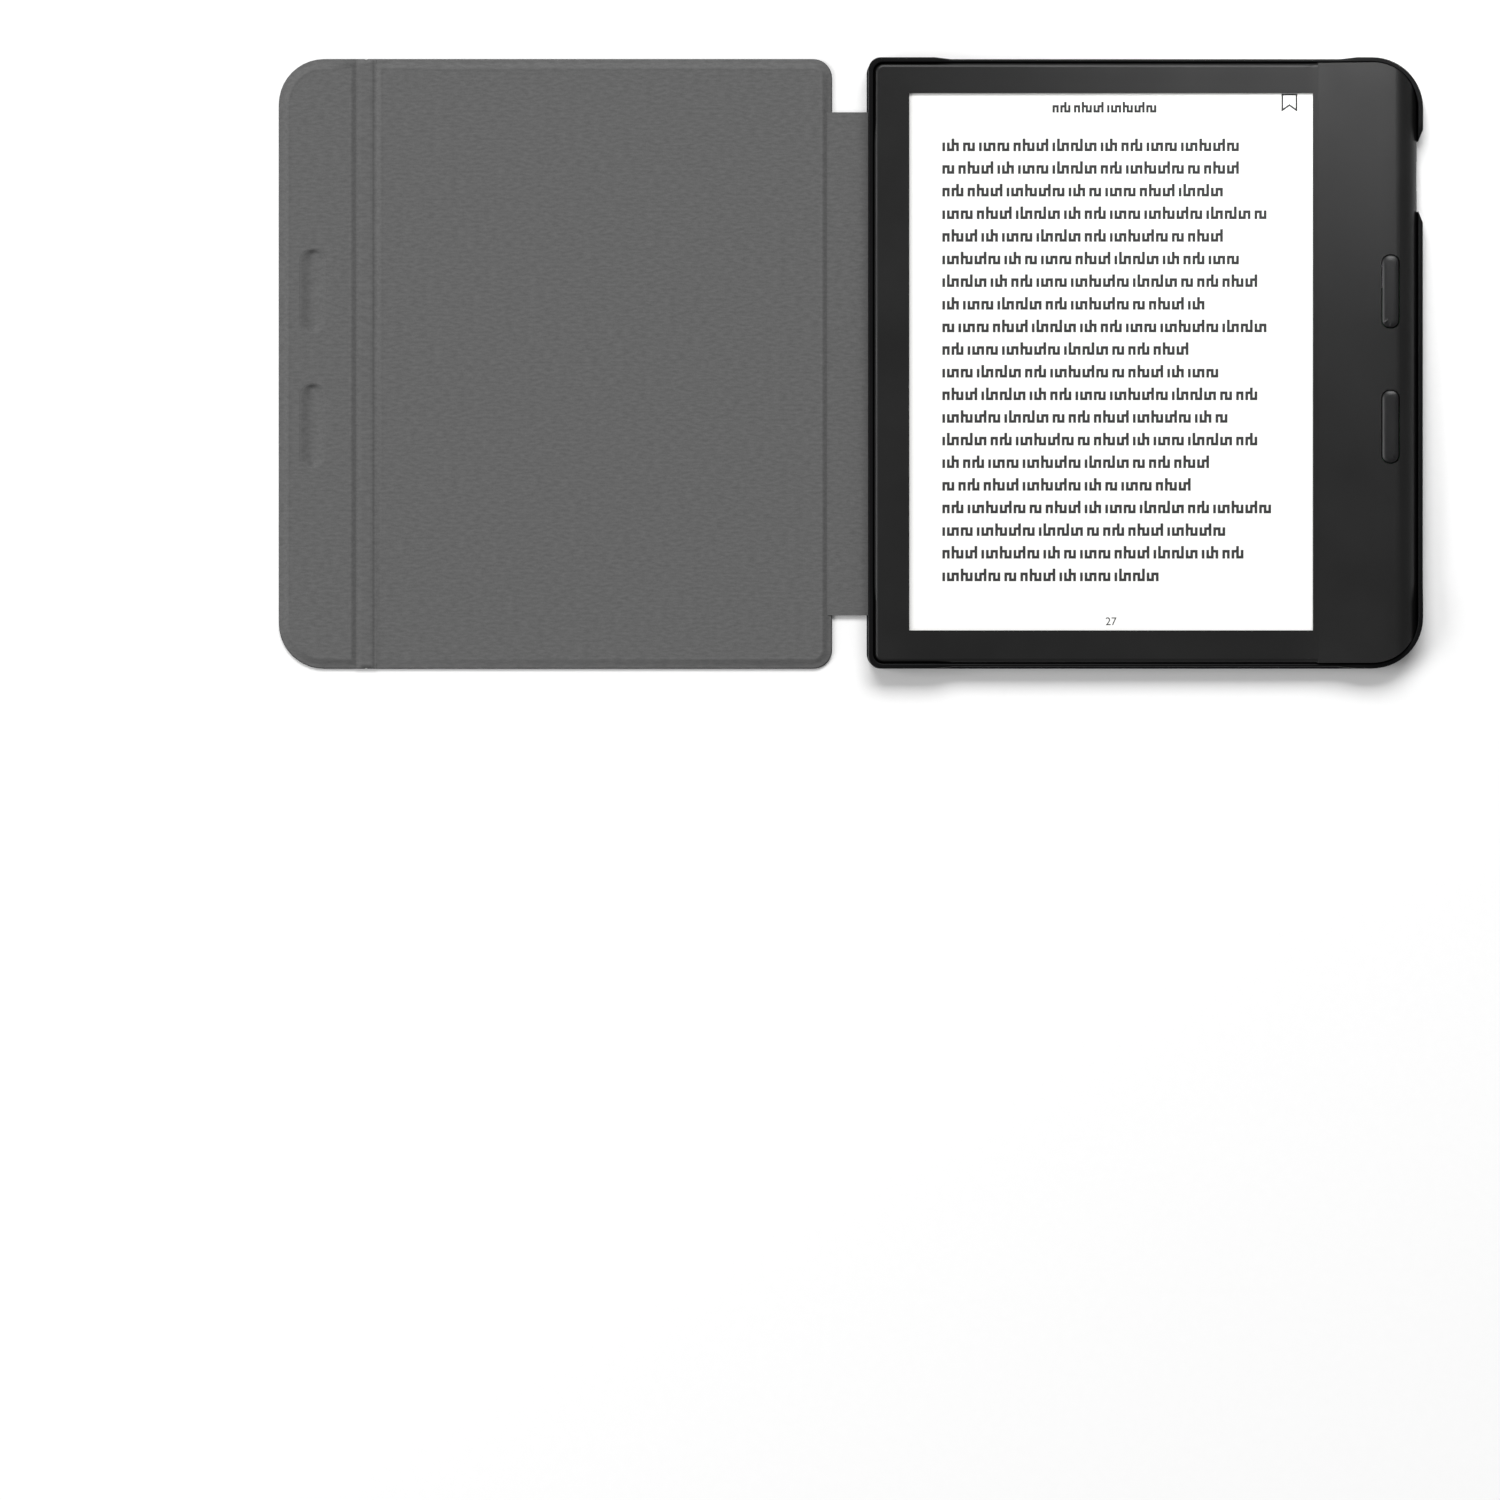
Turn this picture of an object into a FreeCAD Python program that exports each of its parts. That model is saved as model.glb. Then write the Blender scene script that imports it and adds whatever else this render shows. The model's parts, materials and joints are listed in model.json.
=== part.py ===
"""An e-reader held in the tray of a folio case, lying on its back with the case fully open.

X runs from the case's free edge to the reader's grip side, Y up the page and Z out of the screen.
The origin is at the centre of the footprint, on the surface that the open case lies on.
"""
import FreeCAD, Part
import math
import os
import re

import Sketcher
from FreeCAD import Vector

# Each row is a name and a plain number: millimetres, or degrees where the name ends in angle.
DIMENSIONS = """
window_width 107
window_height 142.4
bezel_side 9.3
bezel_head 8
bezel_foot 8.6
grip_width 27.7
reader_depth 5
reader_corner 2.5
grip_corner 12
casing_wall 1.3
casing_floor 0.8
casing_split 2.2
back_round 1
front_round 1.2
grip_start 1.4
grip_angle 7.1
grip_edge 5.3
frame_lip 0.6
lip_overlap 2.4
gasket_width 1.6
gasket_thickness 0.15
film_thickness 0.2
guide_thickness 0.3
panel_thickness 0.7
chassis_thickness 0.4
chassis_margin 1
seal_width 0.6
seal_height 0.8
seal_rise 0.05
light_bar_width 1.6
light_bar_length 120
lamp_length 2.4
lamp_height 0.25
battery_width 65
battery_height 90
battery_inset 24
battery_thickness 1.5
tape_thickness 0.15
tape_margin 4
lead_width 5
lead_thickness 0.5
board_thickness 0.8
board_standoff 0.5
board_width 20
board_foot_margin 21.5
chip_size 12
memory_size 9
storage_size 8
controller_size 5
radio_length 14
chip_height 1
shield_height 1.3
sensor_size 2.5
sensor_margin 0.3
boss_size 3.6
screw_size 1.4
screw_fit 0.05
screw_head 2.6
screw_head_height 0.5
screw_depth 1.2
board_screw_depth 0.5
key_width 4.2
key_length 19
key_pitch 35.8
key_centre 0.9
key_inset 7.3
key_proud 0.45
key_fit 0.35
key_lip 0.9
key_lip_height 0.4
key_lip_drop 0.2
key_corner 1.9
key_stem 1
key_travel 0.4
travel_spare 0.05
switch_size 3
switch_height 0.7
key_board_width 4.2
key_board_thickness 0.4
post_length 5
notch_length 24.5
notch_taper 3.6
notch_centre 29.95
port_board_width 14.5
port_board_length 17
port_board_thickness 0.6
port_board_height 2.7
socket_width 7.6
socket_length 6.4
socket_height 2.4
socket_bottom 0.95
socket_shell 0.3
socket_setback 0.2
socket_fit 0.15
tongue_width 5
tongue_length 4
tongue_height 0.6
power_key_size 8
power_key_inset 12
power_key_proud 0.3
power_fit 0.15
power_lip 0.8
power_lip_height 0.4
power_lip_lift 0.1
power_opening 14
pipe_size 1.2
pipe_fit 0.1
pipe_offset 5.6
antenna_length 16
antenna_width 6
antenna_thickness 0.2
ribbon_thickness 0.15
ribbon_reach 2.5
ribbon_gap 9
display_ribbon_width 30
touch_ribbon_width 10
light_ribbon_width 5
port_ribbon_width 6
magnet_size 6
magnet_height 0.9
magnet_inset 14.5
catch_magnet_size 5
catch_magnet_height 1.2
sleep_magnet_width 2.5
sleep_magnet_length 8
tray_wall 1.3
tray_fit 0.2
tray_floor 1
tray_relief 0.5
tray_rise 0.4
tray_dip 0.7
tray_reach 20
tray_ramp 5
skin_thickness 0.5
lining_thickness 0.4
cover_board_thickness 1.1
spine_board_thickness 0.3
spine_inset 14.2
spine_clearance 0.3
hinge_height 0.5
closing_gap 0.8
cover_setback 0.3
cover_corner 12
hinge_corner 5
board_rim 2.6
lining_rim 0.8
flap_width 23.2
crease_half 3.6
crease_gap 0.3
flap_board_width 16
flap_corner 1.5
slot_width 7
slot_length 20
slot_shift 0.2
"""

# Places and sizes that follow from the dimensions, by name. Each may use the names of the others.
DERIVED = {
    "reader_width": "bezel_side + window_width + grip_width",
    "reader_height": "bezel_head + window_height + bezel_foot",
    "reader_half": "reader_height / 2",
    "case_height": "reader_height + 2 * (tray_fit + tray_wall)",
    "case_half": "case_height / 2",
    "tray_width": "reader_width + 2 * (tray_fit + tray_wall)",
    "cover_thickness": "skin_thickness + cover_board_thickness + lining_thickness",
    "spine_thickness": "skin_thickness + spine_board_thickness + lining_thickness",
    # Heights above the surface that the open case lies on.
    "back": "skin_thickness + tray_floor",
    "front": "back + reader_depth",
    "split": "back + casing_split",
    "floor_top": "back + casing_floor",
    "lip_bottom": "front - frame_lip",
    "film_top": "lip_bottom - gasket_thickness",
    "guide_top": "film_top - film_thickness",
    "panel_top": "guide_top - guide_thickness",
    "chassis_top": "panel_top - panel_thickness",
    "chassis_bottom": "chassis_top - chassis_thickness",
    "board_bottom": "floor_top + board_standoff",
    "board_top": "board_bottom + board_thickness",
    "port_board_bottom": "back + port_board_height",
    "port_board_top": "port_board_bottom + port_board_thickness",
    # The folds. The closed cover's lining clears the reader's flat front by closing_gap.
    "fold_distance": "front + closing_gap + cover_thickness - 2 * hinge_height",
    "fold_side": "spine_thickness - hinge_height + spine_clearance",
    "half_open": "(2 * tray_width + cover_setback + fold_distance + fold_side) / 2",
    "tray_left": "half_open - tray_width",
    "tray_right": "half_open",
    "spine_fold": "tray_left - fold_side",
    "cover_fold": "spine_fold - fold_distance",
    "cover_right": "cover_fold - cover_setback",
    "cover_left": "0 - half_open",
    "flap_fold": "cover_left + flap_width",
    "spine_half": "case_half - spine_inset",
    # The reader in its tray.
    "reader_left": "tray_left + tray_wall + tray_fit",
    "reader_right": "tray_right - tray_wall - tray_fit",
    "window_left": "reader_left + bezel_side",
    "window_right": "window_left + window_width",
    "window_foot": "bezel_foot - reader_half",
    "window_head": "reader_half - bezel_head",
    "stack_left": "window_left - lip_overlap",
    "stack_right": "window_right + lip_overlap",
    "stack_foot": "window_foot - lip_overlap",
    "stack_head": "window_head + lip_overlap",
    "cavity_left": "reader_left + casing_wall",
    "cavity_half": "reader_half - casing_wall",
    "chassis_left": "cavity_left + chassis_margin",
    "chassis_right": "stack_right + chassis_margin",
    "chassis_half": "cavity_half - chassis_margin",
    # The grip rises at grip_angle and turns down to the reader's side in one arc.
    "slope_start": "window_right + grip_start",
    "arc_centre_x": "reader_right - grip_edge",
    "arc_start": "arc_centre_x - grip_edge * sin(grip_angle)",
    "arc_start_height": "front + (arc_start - slope_start) * tan(grip_angle)",
    "arc_centre_height": "arc_start_height - grip_edge * cos(grip_angle)",
    "roof_start": "chassis_right + 0.3",
    "roof_start_height":
        "front + (roof_start - slope_start) * tan(grip_angle) - casing_wall / cos(grip_angle)",
    # The boards under the grip.
    "board_left": "chassis_right + 1",
    "board_right": "board_left + board_width",
    "board_foot": "board_foot_margin - reader_half",
    "notch_y": "reader_half - notch_centre",
    "port_board_foot": "notch_y - port_board_length / 2",
    "port_board_head": "notch_y + port_board_length / 2",
    "board_head": "port_board_foot - 2",
    "socket_left": "reader_right - socket_setback - socket_length",
    "port_board_left": "socket_left - port_board_width",
    "power_x": "reader_right - power_key_inset",
    "hall_y": "board_foot + 8",
    "battery_left": "reader_left + battery_inset",
    "battery_right": "battery_left + battery_width",
    "magnet_y": "reader_half - magnet_inset",
    # Along the grip's slope, from slope_start, and up from its surface.
    "key_along": "(reader_right - key_inset - slope_start) / cos(grip_angle)",
    "lip_top": "0 - casing_wall - key_lip_drop",
    "lip_base": "lip_top - key_lip_height",
    "stem_base": "lip_base - 0.1",
    "switch_top": "stem_base - key_travel - travel_spare",
    "key_board_top": "switch_top - switch_height",
    # The flap's slots lie over the keys when the case is closed.
    "slot_x": "spine_fold + cover_fold - (reader_right - key_inset) + slot_shift",
}
KEY_ROWS = {"upper": "(key_centre + key_pitch / 2)", "lower": "(key_centre - key_pitch / 2)"}

document = FreeCAD.newDocument("ereader_folio")
sheet = document.addObject("Spreadsheet::Sheet", "dims")
names = [row.split()[0] for row in DIMENSIONS.split("\n") if row]
for number, row in enumerate((row for row in DIMENSIONS.split("\n") if row), 1):
    name, value = row.split()
    sheet.set(f"A{number}", name)
    sheet.set(f"B{number}", value)
    sheet.setAlias(f"B{number}", name)
document.recompute()

nodes = []


def formula(text):
    """The text as an expression of the document: derived names written out, dimensions from the sheet."""
    def spelled(match):
        word = match.group(0)
        if word in DERIVED:
            return f"({formula(DERIVED[word])})"
        return f"dims.{word}" if word in names else word
    return re.sub(r"[a-z][a-z_]*", spelled, str(text))


def size(text):
    """What the text comes to with the sheet's present values."""
    return float(sheet.evalExpression(formula(text)))


def bind(thing, **expressions):
    """Bind each property, with two underscores for a dot, to its expression."""
    for name, text in expressions.items():
        thing.setExpression(name.replace("__", "."), formula(text))


def node(thing, label):
    """Give a finished sub-part its name and list it."""
    thing.Label = label
    nodes.append(thing)
    return thing


def between(low, high):
    return f"({high}) - ({low})"


# Sketches and features

def sketch_on(body, name, role="XY_Plane", offset="0"):
    """An empty sketch on one of the body's own origin planes, raised by offset."""
    sketch = body.newObject("Sketcher::SketchObject", name)
    plane = next(item for item in body.Origin.OriginFeatures if item.Role == role)
    sketch.AttachmentSupport = [(plane, "")]
    sketch.MapMode = "FlatFace"
    bind(sketch, AttachmentOffset__Base__z=offset)
    return sketch


def constrain(sketch, constraint, text):
    index = sketch.addConstraint(constraint)
    sketch.setExpression(f"Constraints[{index}]", formula(text))


def place_point(sketch, edge, end, x, y):
    """Hold one end of an edge at a place given by two expressions."""
    constrain(sketch, Sketcher.Constraint("DistanceX", -1, 1, edge, end, size(x)), x)
    constrain(sketch, Sketcher.Constraint("DistanceY", -1, 1, edge, end, size(y)), y)


def rectangle(body, name, x, y, radii=None, role="XY_Plane", offset="0"):
    """A rectangle between two places in x and in y, with the corner radii lower left, lower right,
    upper right, upper left, or square corners."""
    sketch = sketch_on(body, name, role, offset)
    left, right = (size(text) for text in x)
    foot, head = (size(text) for text in y)
    turns = [size(radius) for radius in radii] if radii else [0, 0, 0, 0]
    sides = (
        ((left + turns[0], foot), (right - turns[1], foot)),
        ((right, foot + turns[1]), (right, head - turns[2])),
        ((right - turns[2], head), (left + turns[3], head)),
        ((left, head - turns[3]), (left, foot + turns[0])),
    )
    for start, end in sides:
        sketch.addGeometry(Part.LineSegment(Vector(*start, 0), Vector(*end, 0)), False)
    if radii:
        centres = (
            (right - turns[1], foot + turns[1], turns[1], -90),
            (right - turns[2], head - turns[2], turns[2], 0),
            (left + turns[3], head - turns[3], turns[3], 90),
            (left + turns[0], foot + turns[0], turns[0], 180),
        )
        for centre_x, centre_y, radius, start in centres:
            circle = Part.Circle(Vector(centre_x, centre_y, 0), Vector(0, 0, 1), radius)
            arc = Part.ArcOfCircle(circle, math.radians(start), math.radians(start + 90))
            sketch.addGeometry(arc, False)
    for side in range(4):
        following = (side + 1) % 4
        if radii:
            sketch.addConstraint(Sketcher.Constraint("Tangent", side, 2, 4 + side, 1))
            sketch.addConstraint(Sketcher.Constraint("Tangent", 4 + side, 2, following, 1))
        else:
            sketch.addConstraint(Sketcher.Constraint("Coincident", side, 2, following, 1))
        sketch.addConstraint(Sketcher.Constraint("Vertical" if side % 2 else "Horizontal", side))
    constrain(sketch, Sketcher.Constraint("DistanceY", -1, 1, 0, 1, foot), y[0])
    constrain(sketch, Sketcher.Constraint("DistanceX", -1, 1, 1, 1, right), x[1])
    constrain(sketch, Sketcher.Constraint("DistanceY", -1, 1, 2, 1, head), y[1])
    constrain(sketch, Sketcher.Constraint("DistanceX", -1, 1, 3, 1, left), x[0])
    if radii:
        for corner, edge in enumerate((7, 4, 5, 6)):
            constrain(sketch, Sketcher.Constraint("Radius", edge, turns[corner]), radii[corner])
    return sketch


def circles(body, name, centres, diameter, offset="0"):
    """Equal circles at the places given."""
    sketch = sketch_on(body, name, offset=offset)
    radius = size(diameter) / 2
    for index, (x, y) in enumerate(centres):
        circle = Part.Circle(Vector(size(x), size(y), 0), Vector(0, 0, 1), radius)
        sketch.addGeometry(circle, False)
        place_point(sketch, index, 3, x, y)
        constrain(sketch, Sketcher.Constraint("Diameter", index, 2 * radius), diameter)
    return sketch


def outline(body, name, points, role="XZ_Plane", offset="0"):
    """A closed run of straight lines through the points given."""
    sketch = sketch_on(body, name, role, offset)
    places = [Vector(size(x), size(y), 0) for x, y in points]
    for start, end in zip(places, places[1:] + places[:1]):
        sketch.addGeometry(Part.LineSegment(start, end), False)
    for index in range(len(points)):
        following = (index + 1) % len(points)
        sketch.addConstraint(Sketcher.Constraint("Coincident", index, 2, following, 1))
    for index, (x, y) in enumerate(points):
        place_point(sketch, index, 1, x, y)
    return sketch


def pad(body, sketch, length, symmetric=False):
    feature = body.newObject("PartDesign::Pad", sketch.Name + "_pad")
    feature.Profile = sketch
    bind(feature, Length=length)
    if symmetric:
        feature.SideType = "Symmetric"
    return feature


def pocket(body, sketch, length=None, upward=True, symmetric=False):
    """Cut away what lies above the sketch, or below it; to the given depth or right through."""
    document.recompute()
    before = body.Shape.Volume
    feature = body.newObject("PartDesign::Pocket", sketch.Name + "_cut")
    feature.Profile = sketch
    feature.Reversed = upward
    if length is None:
        feature.Type = "ThroughAll"
    else:
        bind(feature, Length=length)
    if symmetric:
        feature.SideType = "Symmetric"
    document.recompute()
    if body.Shape.Volume >= before:
        raise ValueError(f"{feature.Name} cuts nothing")
    return feature


def new_body(name):
    return document.addObject("PartDesign::Body", name)


def plate(label, x, y, z, radii=None):
    """A flat piece between two heights with a rectangular or rounded outline."""
    body = new_body(label)
    pad(body, rectangle(body, label + "_outline", x, y, radii, offset=z[0]), between(*z))
    return node(body, label)


def block(label, x, y, z):
    """A plain block that isn't a sub-part by itself until it is listed as a node."""
    box = document.addObject("Part::Box", label)
    bind(box, Length=between(*x), Width=between(*y), Height=between(*z))
    bind(box, Placement__Base__x=x[0], Placement__Base__y=y[0], Placement__Base__z=z[0])
    return box


def rod(label, x, y, z, diameter):
    """An upright cylinder between two heights."""
    cylinder = document.addObject("Part::Cylinder", label)
    bind(cylinder, Radius=f"({diameter}) / 2", Height=between(*z))
    bind(cylinder, Placement__Base__x=x, Placement__Base__y=y, Placement__Base__z=z[0])
    return cylinder


def group(label, pieces):
    """Separate solids that share one node."""
    compound = document.addObject("Part::Compound", label)
    compound.Links = pieces
    return node(compound, label)


def cut(label, base, *tools):
    """The base less the tools, one after another."""
    for index, tool in enumerate(tools):
        result = document.addObject("Part::Cut", f"{label}_{index}")
        result.Base = base
        result.Tool = tool
        base = result
    return base


def on_slope(thing, x="0", y="0", z="0"):
    """Set a thing on the grip's slope: x along it from its start, z out of its surface."""
    start = formula("placement(vector(slope_start; 0; front); rotation(vector(0; 1; 0); 0 - grip_angle))")
    local = formula(f"placement(vector({x}; {y}; {z}); rotation(vector(0; 0; 1); 0))")
    thing.setExpression("Placement", f"{start} * {local}")
    return thing


def slope_block(label, x, y, z):
    """A block square to the grip's slope, between places along it, across it and out of it."""
    box = document.addObject("Part::Box", label)
    bind(box, Length=between(*x), Width=between(*y), Height=between(*z))
    return on_slope(box, x[0], y[0], z[0])


# The casing of the reader

def reader_outline(body, name, inset, offset):
    """The reader's outline, drawn in by inset all round."""
    near = f"reader_corner - {inset} * 0.5"
    far = f"grip_corner - {inset}"
    x = (f"reader_left + {inset}", f"reader_right - {inset}")
    y = (f"{inset} - reader_half", f"reader_half - {inset}")
    return rectangle(body, name, x, y, (near, far, far, near), offset=offset)


def grip_section(body, name, corners, radius):
    """A section of the reader across its grip: the corners from the lower left, then an arc of the
    given radius about the grip edge's centre, and down to the height of the first corner."""
    sketch = sketch_on(body, name, "XZ_Plane")
    centre = Vector(size("arc_centre_x"), size("arc_centre_height"), 0)
    reach, tilt, low = size(radius), math.radians(size("grip_angle")), size(corners[0][1])
    points = [Vector(size(x), size(z), 0) for x, z in corners]
    points.append(centre + Vector(-reach * math.sin(tilt), reach * math.cos(tilt), 0))
    for start, end in zip(points, points[1:]):
        sketch.addGeometry(Part.LineSegment(start, end), False)
    arc = len(corners)
    side = Vector(centre.x + reach, centre.y, 0)
    foot = Vector(side.x, low, 0)
    circle = Part.Circle(centre, Vector(0, 0, 1), reach)
    sketch.addGeometry(Part.ArcOfCircle(circle, 0, math.pi / 2 + tilt), False)
    sketch.addGeometry(Part.LineSegment(side, foot), False)
    sketch.addGeometry(Part.LineSegment(foot, points[0]), False)
    for index in range(arc - 1):
        sketch.addConstraint(Sketcher.Constraint("Coincident", index, 2, index + 1, 1))
    for index, (x, z) in enumerate(corners):
        place_point(sketch, index, 1, x, z)
    place_point(sketch, arc, 3, "arc_centre_x", "arc_centre_height")
    constrain(sketch, Sketcher.Constraint("Radius", arc, reach), radius)
    sketch.addConstraint(Sketcher.Constraint("Tangent", arc - 1, 2, arc, 2))
    sketch.addConstraint(Sketcher.Constraint("Tangent", arc, 1, arc + 1, 1))
    sketch.addConstraint(Sketcher.Constraint("Vertical", arc + 1))
    constrain(sketch, Sketcher.Constraint("DistanceY", -1, 1, arc + 1, 2, low), corners[0][1])
    sketch.addConstraint(Sketcher.Constraint("Coincident", arc + 1, 2, arc + 2, 1))
    sketch.addConstraint(Sketcher.Constraint("Coincident", arc + 2, 2, 0, 1))
    return sketch


def common(label, first, second):
    result = document.addObject("Part::MultiCommon", label)
    result.Shapes = [first, second]
    return result


def casing_block(label, inset, corners, radius, low):
    """The reader's rounded outline and its section across the grip, as one block from low upwards."""
    plan = new_body(label + "_plan")
    pad(plan, reader_outline(plan, label + "_plan_outline", inset, low), "3 * reader_depth")
    section = new_body(label + "_section")
    profile = grip_section(section, label + "_profile", corners, radius)
    pad(section, profile, "reader_height", symmetric=True)
    return common(label, plan, section)


def round_front(base):
    """Round the front's edges at the head, the foot and the spine side, and up the grip's ends."""
    document.recompute()
    radius, left, start = size("front_round"), size("reader_left"), size("slope_start")
    half, front = size("reader_half"), size("front")
    picked = []
    for index, edge in enumerate(base.Shape.Edges, 1):
        box = edge.BoundBox
        inside_y = box.YMax < half - 1e-4 and box.YMin > 1e-4 - half
        straight_side = inside_y and abs(box.XMax - left) < 1e-4
        flat = box.ZMin > front - 1e-4 and box.XMax < start + 1e-4
        if flat and (straight_side or not inside_y) and abs(box.ZMax - front) < 1e-4:
            picked.append((index, radius, radius))
    fillet = document.addObject("Part::Fillet", "front_rounded")
    fillet.Base = base
    fillet.Edges = picked
    return fillet


def front_frame():
    """The front shell: bezels round the window, the sloping grip, key slots and key board posts."""
    outer = casing_block(
        "frame_outer", "0",
        (("reader_left", "split"), ("reader_left", "front"), ("slope_start", "front")),
        "grip_edge", "split")
    cavity = casing_block(
        "frame_cavity", "casing_wall",
        (("cavity_left", "back"), ("cavity_left", "lip_bottom"), ("roof_start", "lip_bottom"),
         ("roof_start", "roof_start_height")),
        "(grip_edge - casing_wall)", "back")
    window = block("window_opening", ("window_left", "window_right"), ("window_foot", "window_head"),
                   ("back", "front + reader_depth"))
    slots = [key_shape(f"{row}_slot", row, "key_fit", ("lip_base", "casing_wall"))
             for row in KEY_ROWS]
    shell = cut("frame_shell", round_front(outer), cavity, window, *slots, port_opening("frame_port"))
    posts = document.addObject("Part::MultiFuse", "front_frame")
    posts.Shapes = [shell] + [
        slope_block(f"key_post_{number}",
                    ("key_along - key_board_width / 2", "key_along + key_board_width / 2"),
                    (f"{middle} - post_length / 2", f"{middle} + post_length / 2"),
                    ("key_board_top", "0 - casing_wall / 2"))
        for number, middle in enumerate(("key_centre", "key_board_foot + post_length / 2",
                                         "key_board_head - post_length / 2"))]
    return node(posts, "front_frame")


def port_opening(label):
    """The charging socket's opening through the reader's side."""
    return block(label,
                 ("socket_left", "reader_right + 1"),
                 ("notch_y - socket_width / 2 - socket_fit", "notch_y + socket_width / 2 + socket_fit"),
                 ("back + socket_bottom - socket_fit", "back + socket_bottom + socket_height + socket_fit"))


def casing_screw_places():
    rows = ("chassis_half - screw_head / 2 - 0.2", "screw_head / 2 + 0.2 - chassis_half")
    columns = ("stack_left", "(stack_left + stack_right) / 2", "stack_right - screw_head")
    return [(x, y) for x in columns for y in rows]


def board_screw_places():
    columns = ("board_left + boss_size / 2", "board_right - boss_size / 2")
    rows = ("board_foot + boss_size / 2", "board_head - boss_size / 2")
    return [(x, y) for x in columns for y in rows]


def rear_casing():
    """The rear shell: floor, wall, bosses for both sets of screws, and the openings in it."""
    body = new_body("rear_shell")
    pad(body, reader_outline(body, "rear_outline", "0", "back"), "casing_split")
    document.recompute()
    pocket(body, reader_outline(body, "rear_hollow", "casing_wall", "floor_top"))
    bosses = circles(body, "chassis_bosses", casing_screw_places(), "boss_size", "floor_top")
    pad(body, bosses, between("floor_top", "chassis_bottom"))
    stands = circles(body, "board_bosses", board_screw_places(), "boss_size", "floor_top")
    pad(body, stands, "board_standoff")
    holes = circles(body, "chassis_holes", casing_screw_places(), "screw_size + 2 * screw_fit",
                    "chassis_bottom - screw_depth")
    pocket(body, holes)
    stand_holes = circles(body, "board_holes", board_screw_places(), "screw_size + 2 * screw_fit",
                          "board_bottom - board_screw_depth")
    pocket(body, stand_holes)
    power_hole = circles(body, "power_hole", [("power_x", "notch_y")],
                         "power_key_size + 2 * power_fit", "back")
    pocket(body, power_hole)
    pipe_hole = circles(body, "pipe_hole", [("power_x", "notch_y + pipe_offset")],
                        "pipe_size + 2 * pipe_fit", "back")
    pocket(body, pipe_hole)
    document.recompute()
    rounded = document.addObject("Part::Fillet", "rear_rounded")
    rounded.Base = body
    level, outer = size("back"), size("power_opening") * 2
    rounded.Edges = [
        (index, size("back_round"), size("back_round"))
        for index, edge in enumerate(body.Shape.Edges, 1)
        if abs(edge.BoundBox.ZMax - level) < 1e-4 and not (
            edge.BoundBox.DiagonalLength < outer and abs(edge.CenterOfMass.x - size("power_x")) < 10
            and abs(edge.CenterOfMass.y - size("notch_y")) < 10)]
    return node(cut("rear_open", rounded, port_opening("rear_port")), "rear_casing")


def casing_seal():
    """The ring that seals the joint between the shells, left open where the socket passes."""
    body = new_body("seal_ring")
    bottom = "split + seal_rise - seal_height"
    pad(body, reader_outline(body, "seal_outer", "casing_wall", bottom), "seal_height")
    pocket(body, reader_outline(body, "seal_inner", "(casing_wall + seal_width)", bottom))
    return node(cut("seal_open", body, port_opening("seal_port")), "casing_seal")


def stack():
    """The display's layers, from the chassis plate up to the gasket under the frame's lip."""
    x, y = ("stack_left", "stack_right"), ("stack_foot", "stack_head")
    chassis = new_body("chassis_plate")
    outline_ = rectangle(chassis, "chassis_outline", ("chassis_left", "chassis_right"),
                         ("0 - chassis_half", "chassis_half"), ("1", "1", "1", "1"),
                         offset="chassis_bottom")
    pad(chassis, outline_, "chassis_thickness")
    holes = circles(chassis, "chassis_screw_holes", casing_screw_places(),
                    "screw_size + 2 * screw_fit", "chassis_bottom")
    pocket(chassis, holes)
    node(chassis, "chassis_plate")
    plate("epaper_panel", x, y, ("chassis_top", "panel_top"))
    plate("light_guide", x, y, ("panel_top", "guide_top"))
    plate("touch_film", x, y, ("guide_top", "film_top"), ("1", "1", "1", "1"))
    gasket = new_body("window_gasket")
    pad(gasket, rectangle(gasket, "gasket_outer", x, y, offset="film_top"), "gasket_thickness")
    inner_x = ("stack_left + gasket_width", "stack_right - gasket_width")
    inner_y = ("stack_foot + gasket_width", "stack_head - gasket_width")
    pocket(gasket, rectangle(gasket, "gasket_inner", inner_x, inner_y, offset="film_top"))
    node(gasket, "window_gasket")
    light_bar()


def light_bar():
    """The strip of lamps along the light guide's edge on the spine side."""
    lamps = 12
    body = new_body("light_bar")
    x = ("stack_left - light_bar_width", "stack_left")
    strip = rectangle(body, "lamp_strip", x, ("0 - light_bar_length / 2", "light_bar_length / 2"),
                      offset="panel_top - 0.1")
    pad(body, strip, "0.1 + lamp_height / 2")
    lamp = rectangle(body, "lamp_outline", ("stack_left - 1", "stack_left"),
                     ("3 - light_bar_length / 2", "3 + lamp_length - light_bar_length / 2"),
                     offset="panel_top")
    lamp_pad = pad(body, lamp, "lamp_height")
    document.recompute()
    row = body.newObject("PartDesign::LinearPattern", "lamp_row")
    row.Originals = [lamp_pad]
    axis = next(item for item in body.Origin.OriginFeatures if item.Role == "Y_Axis")
    row.Direction = (axis, [""])
    row.Occurrences = lamps
    bind(row, Length="light_bar_length - 6 - lamp_length")
    body.Tip = row
    node(body, "light_bar")


def screws(label, places, top, depth):
    """Pan-head screws as separate solids, with their heads resting at the given height."""
    pieces = []
    for number, (x, y) in enumerate(places):
        fused = document.addObject("Part::MultiFuse", f"{label}_{number}")
        fused.Shapes = [
            rod(f"{label}_shank_{number}", x, y, (f"{top} - {depth}", top), "screw_size"),
            rod(f"{label}_head_{number}", x, y, (top, f"{top} + screw_head_height"), "screw_head")]
        pieces.append(fused)
    return group(label, pieces)


# What the casing holds

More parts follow.
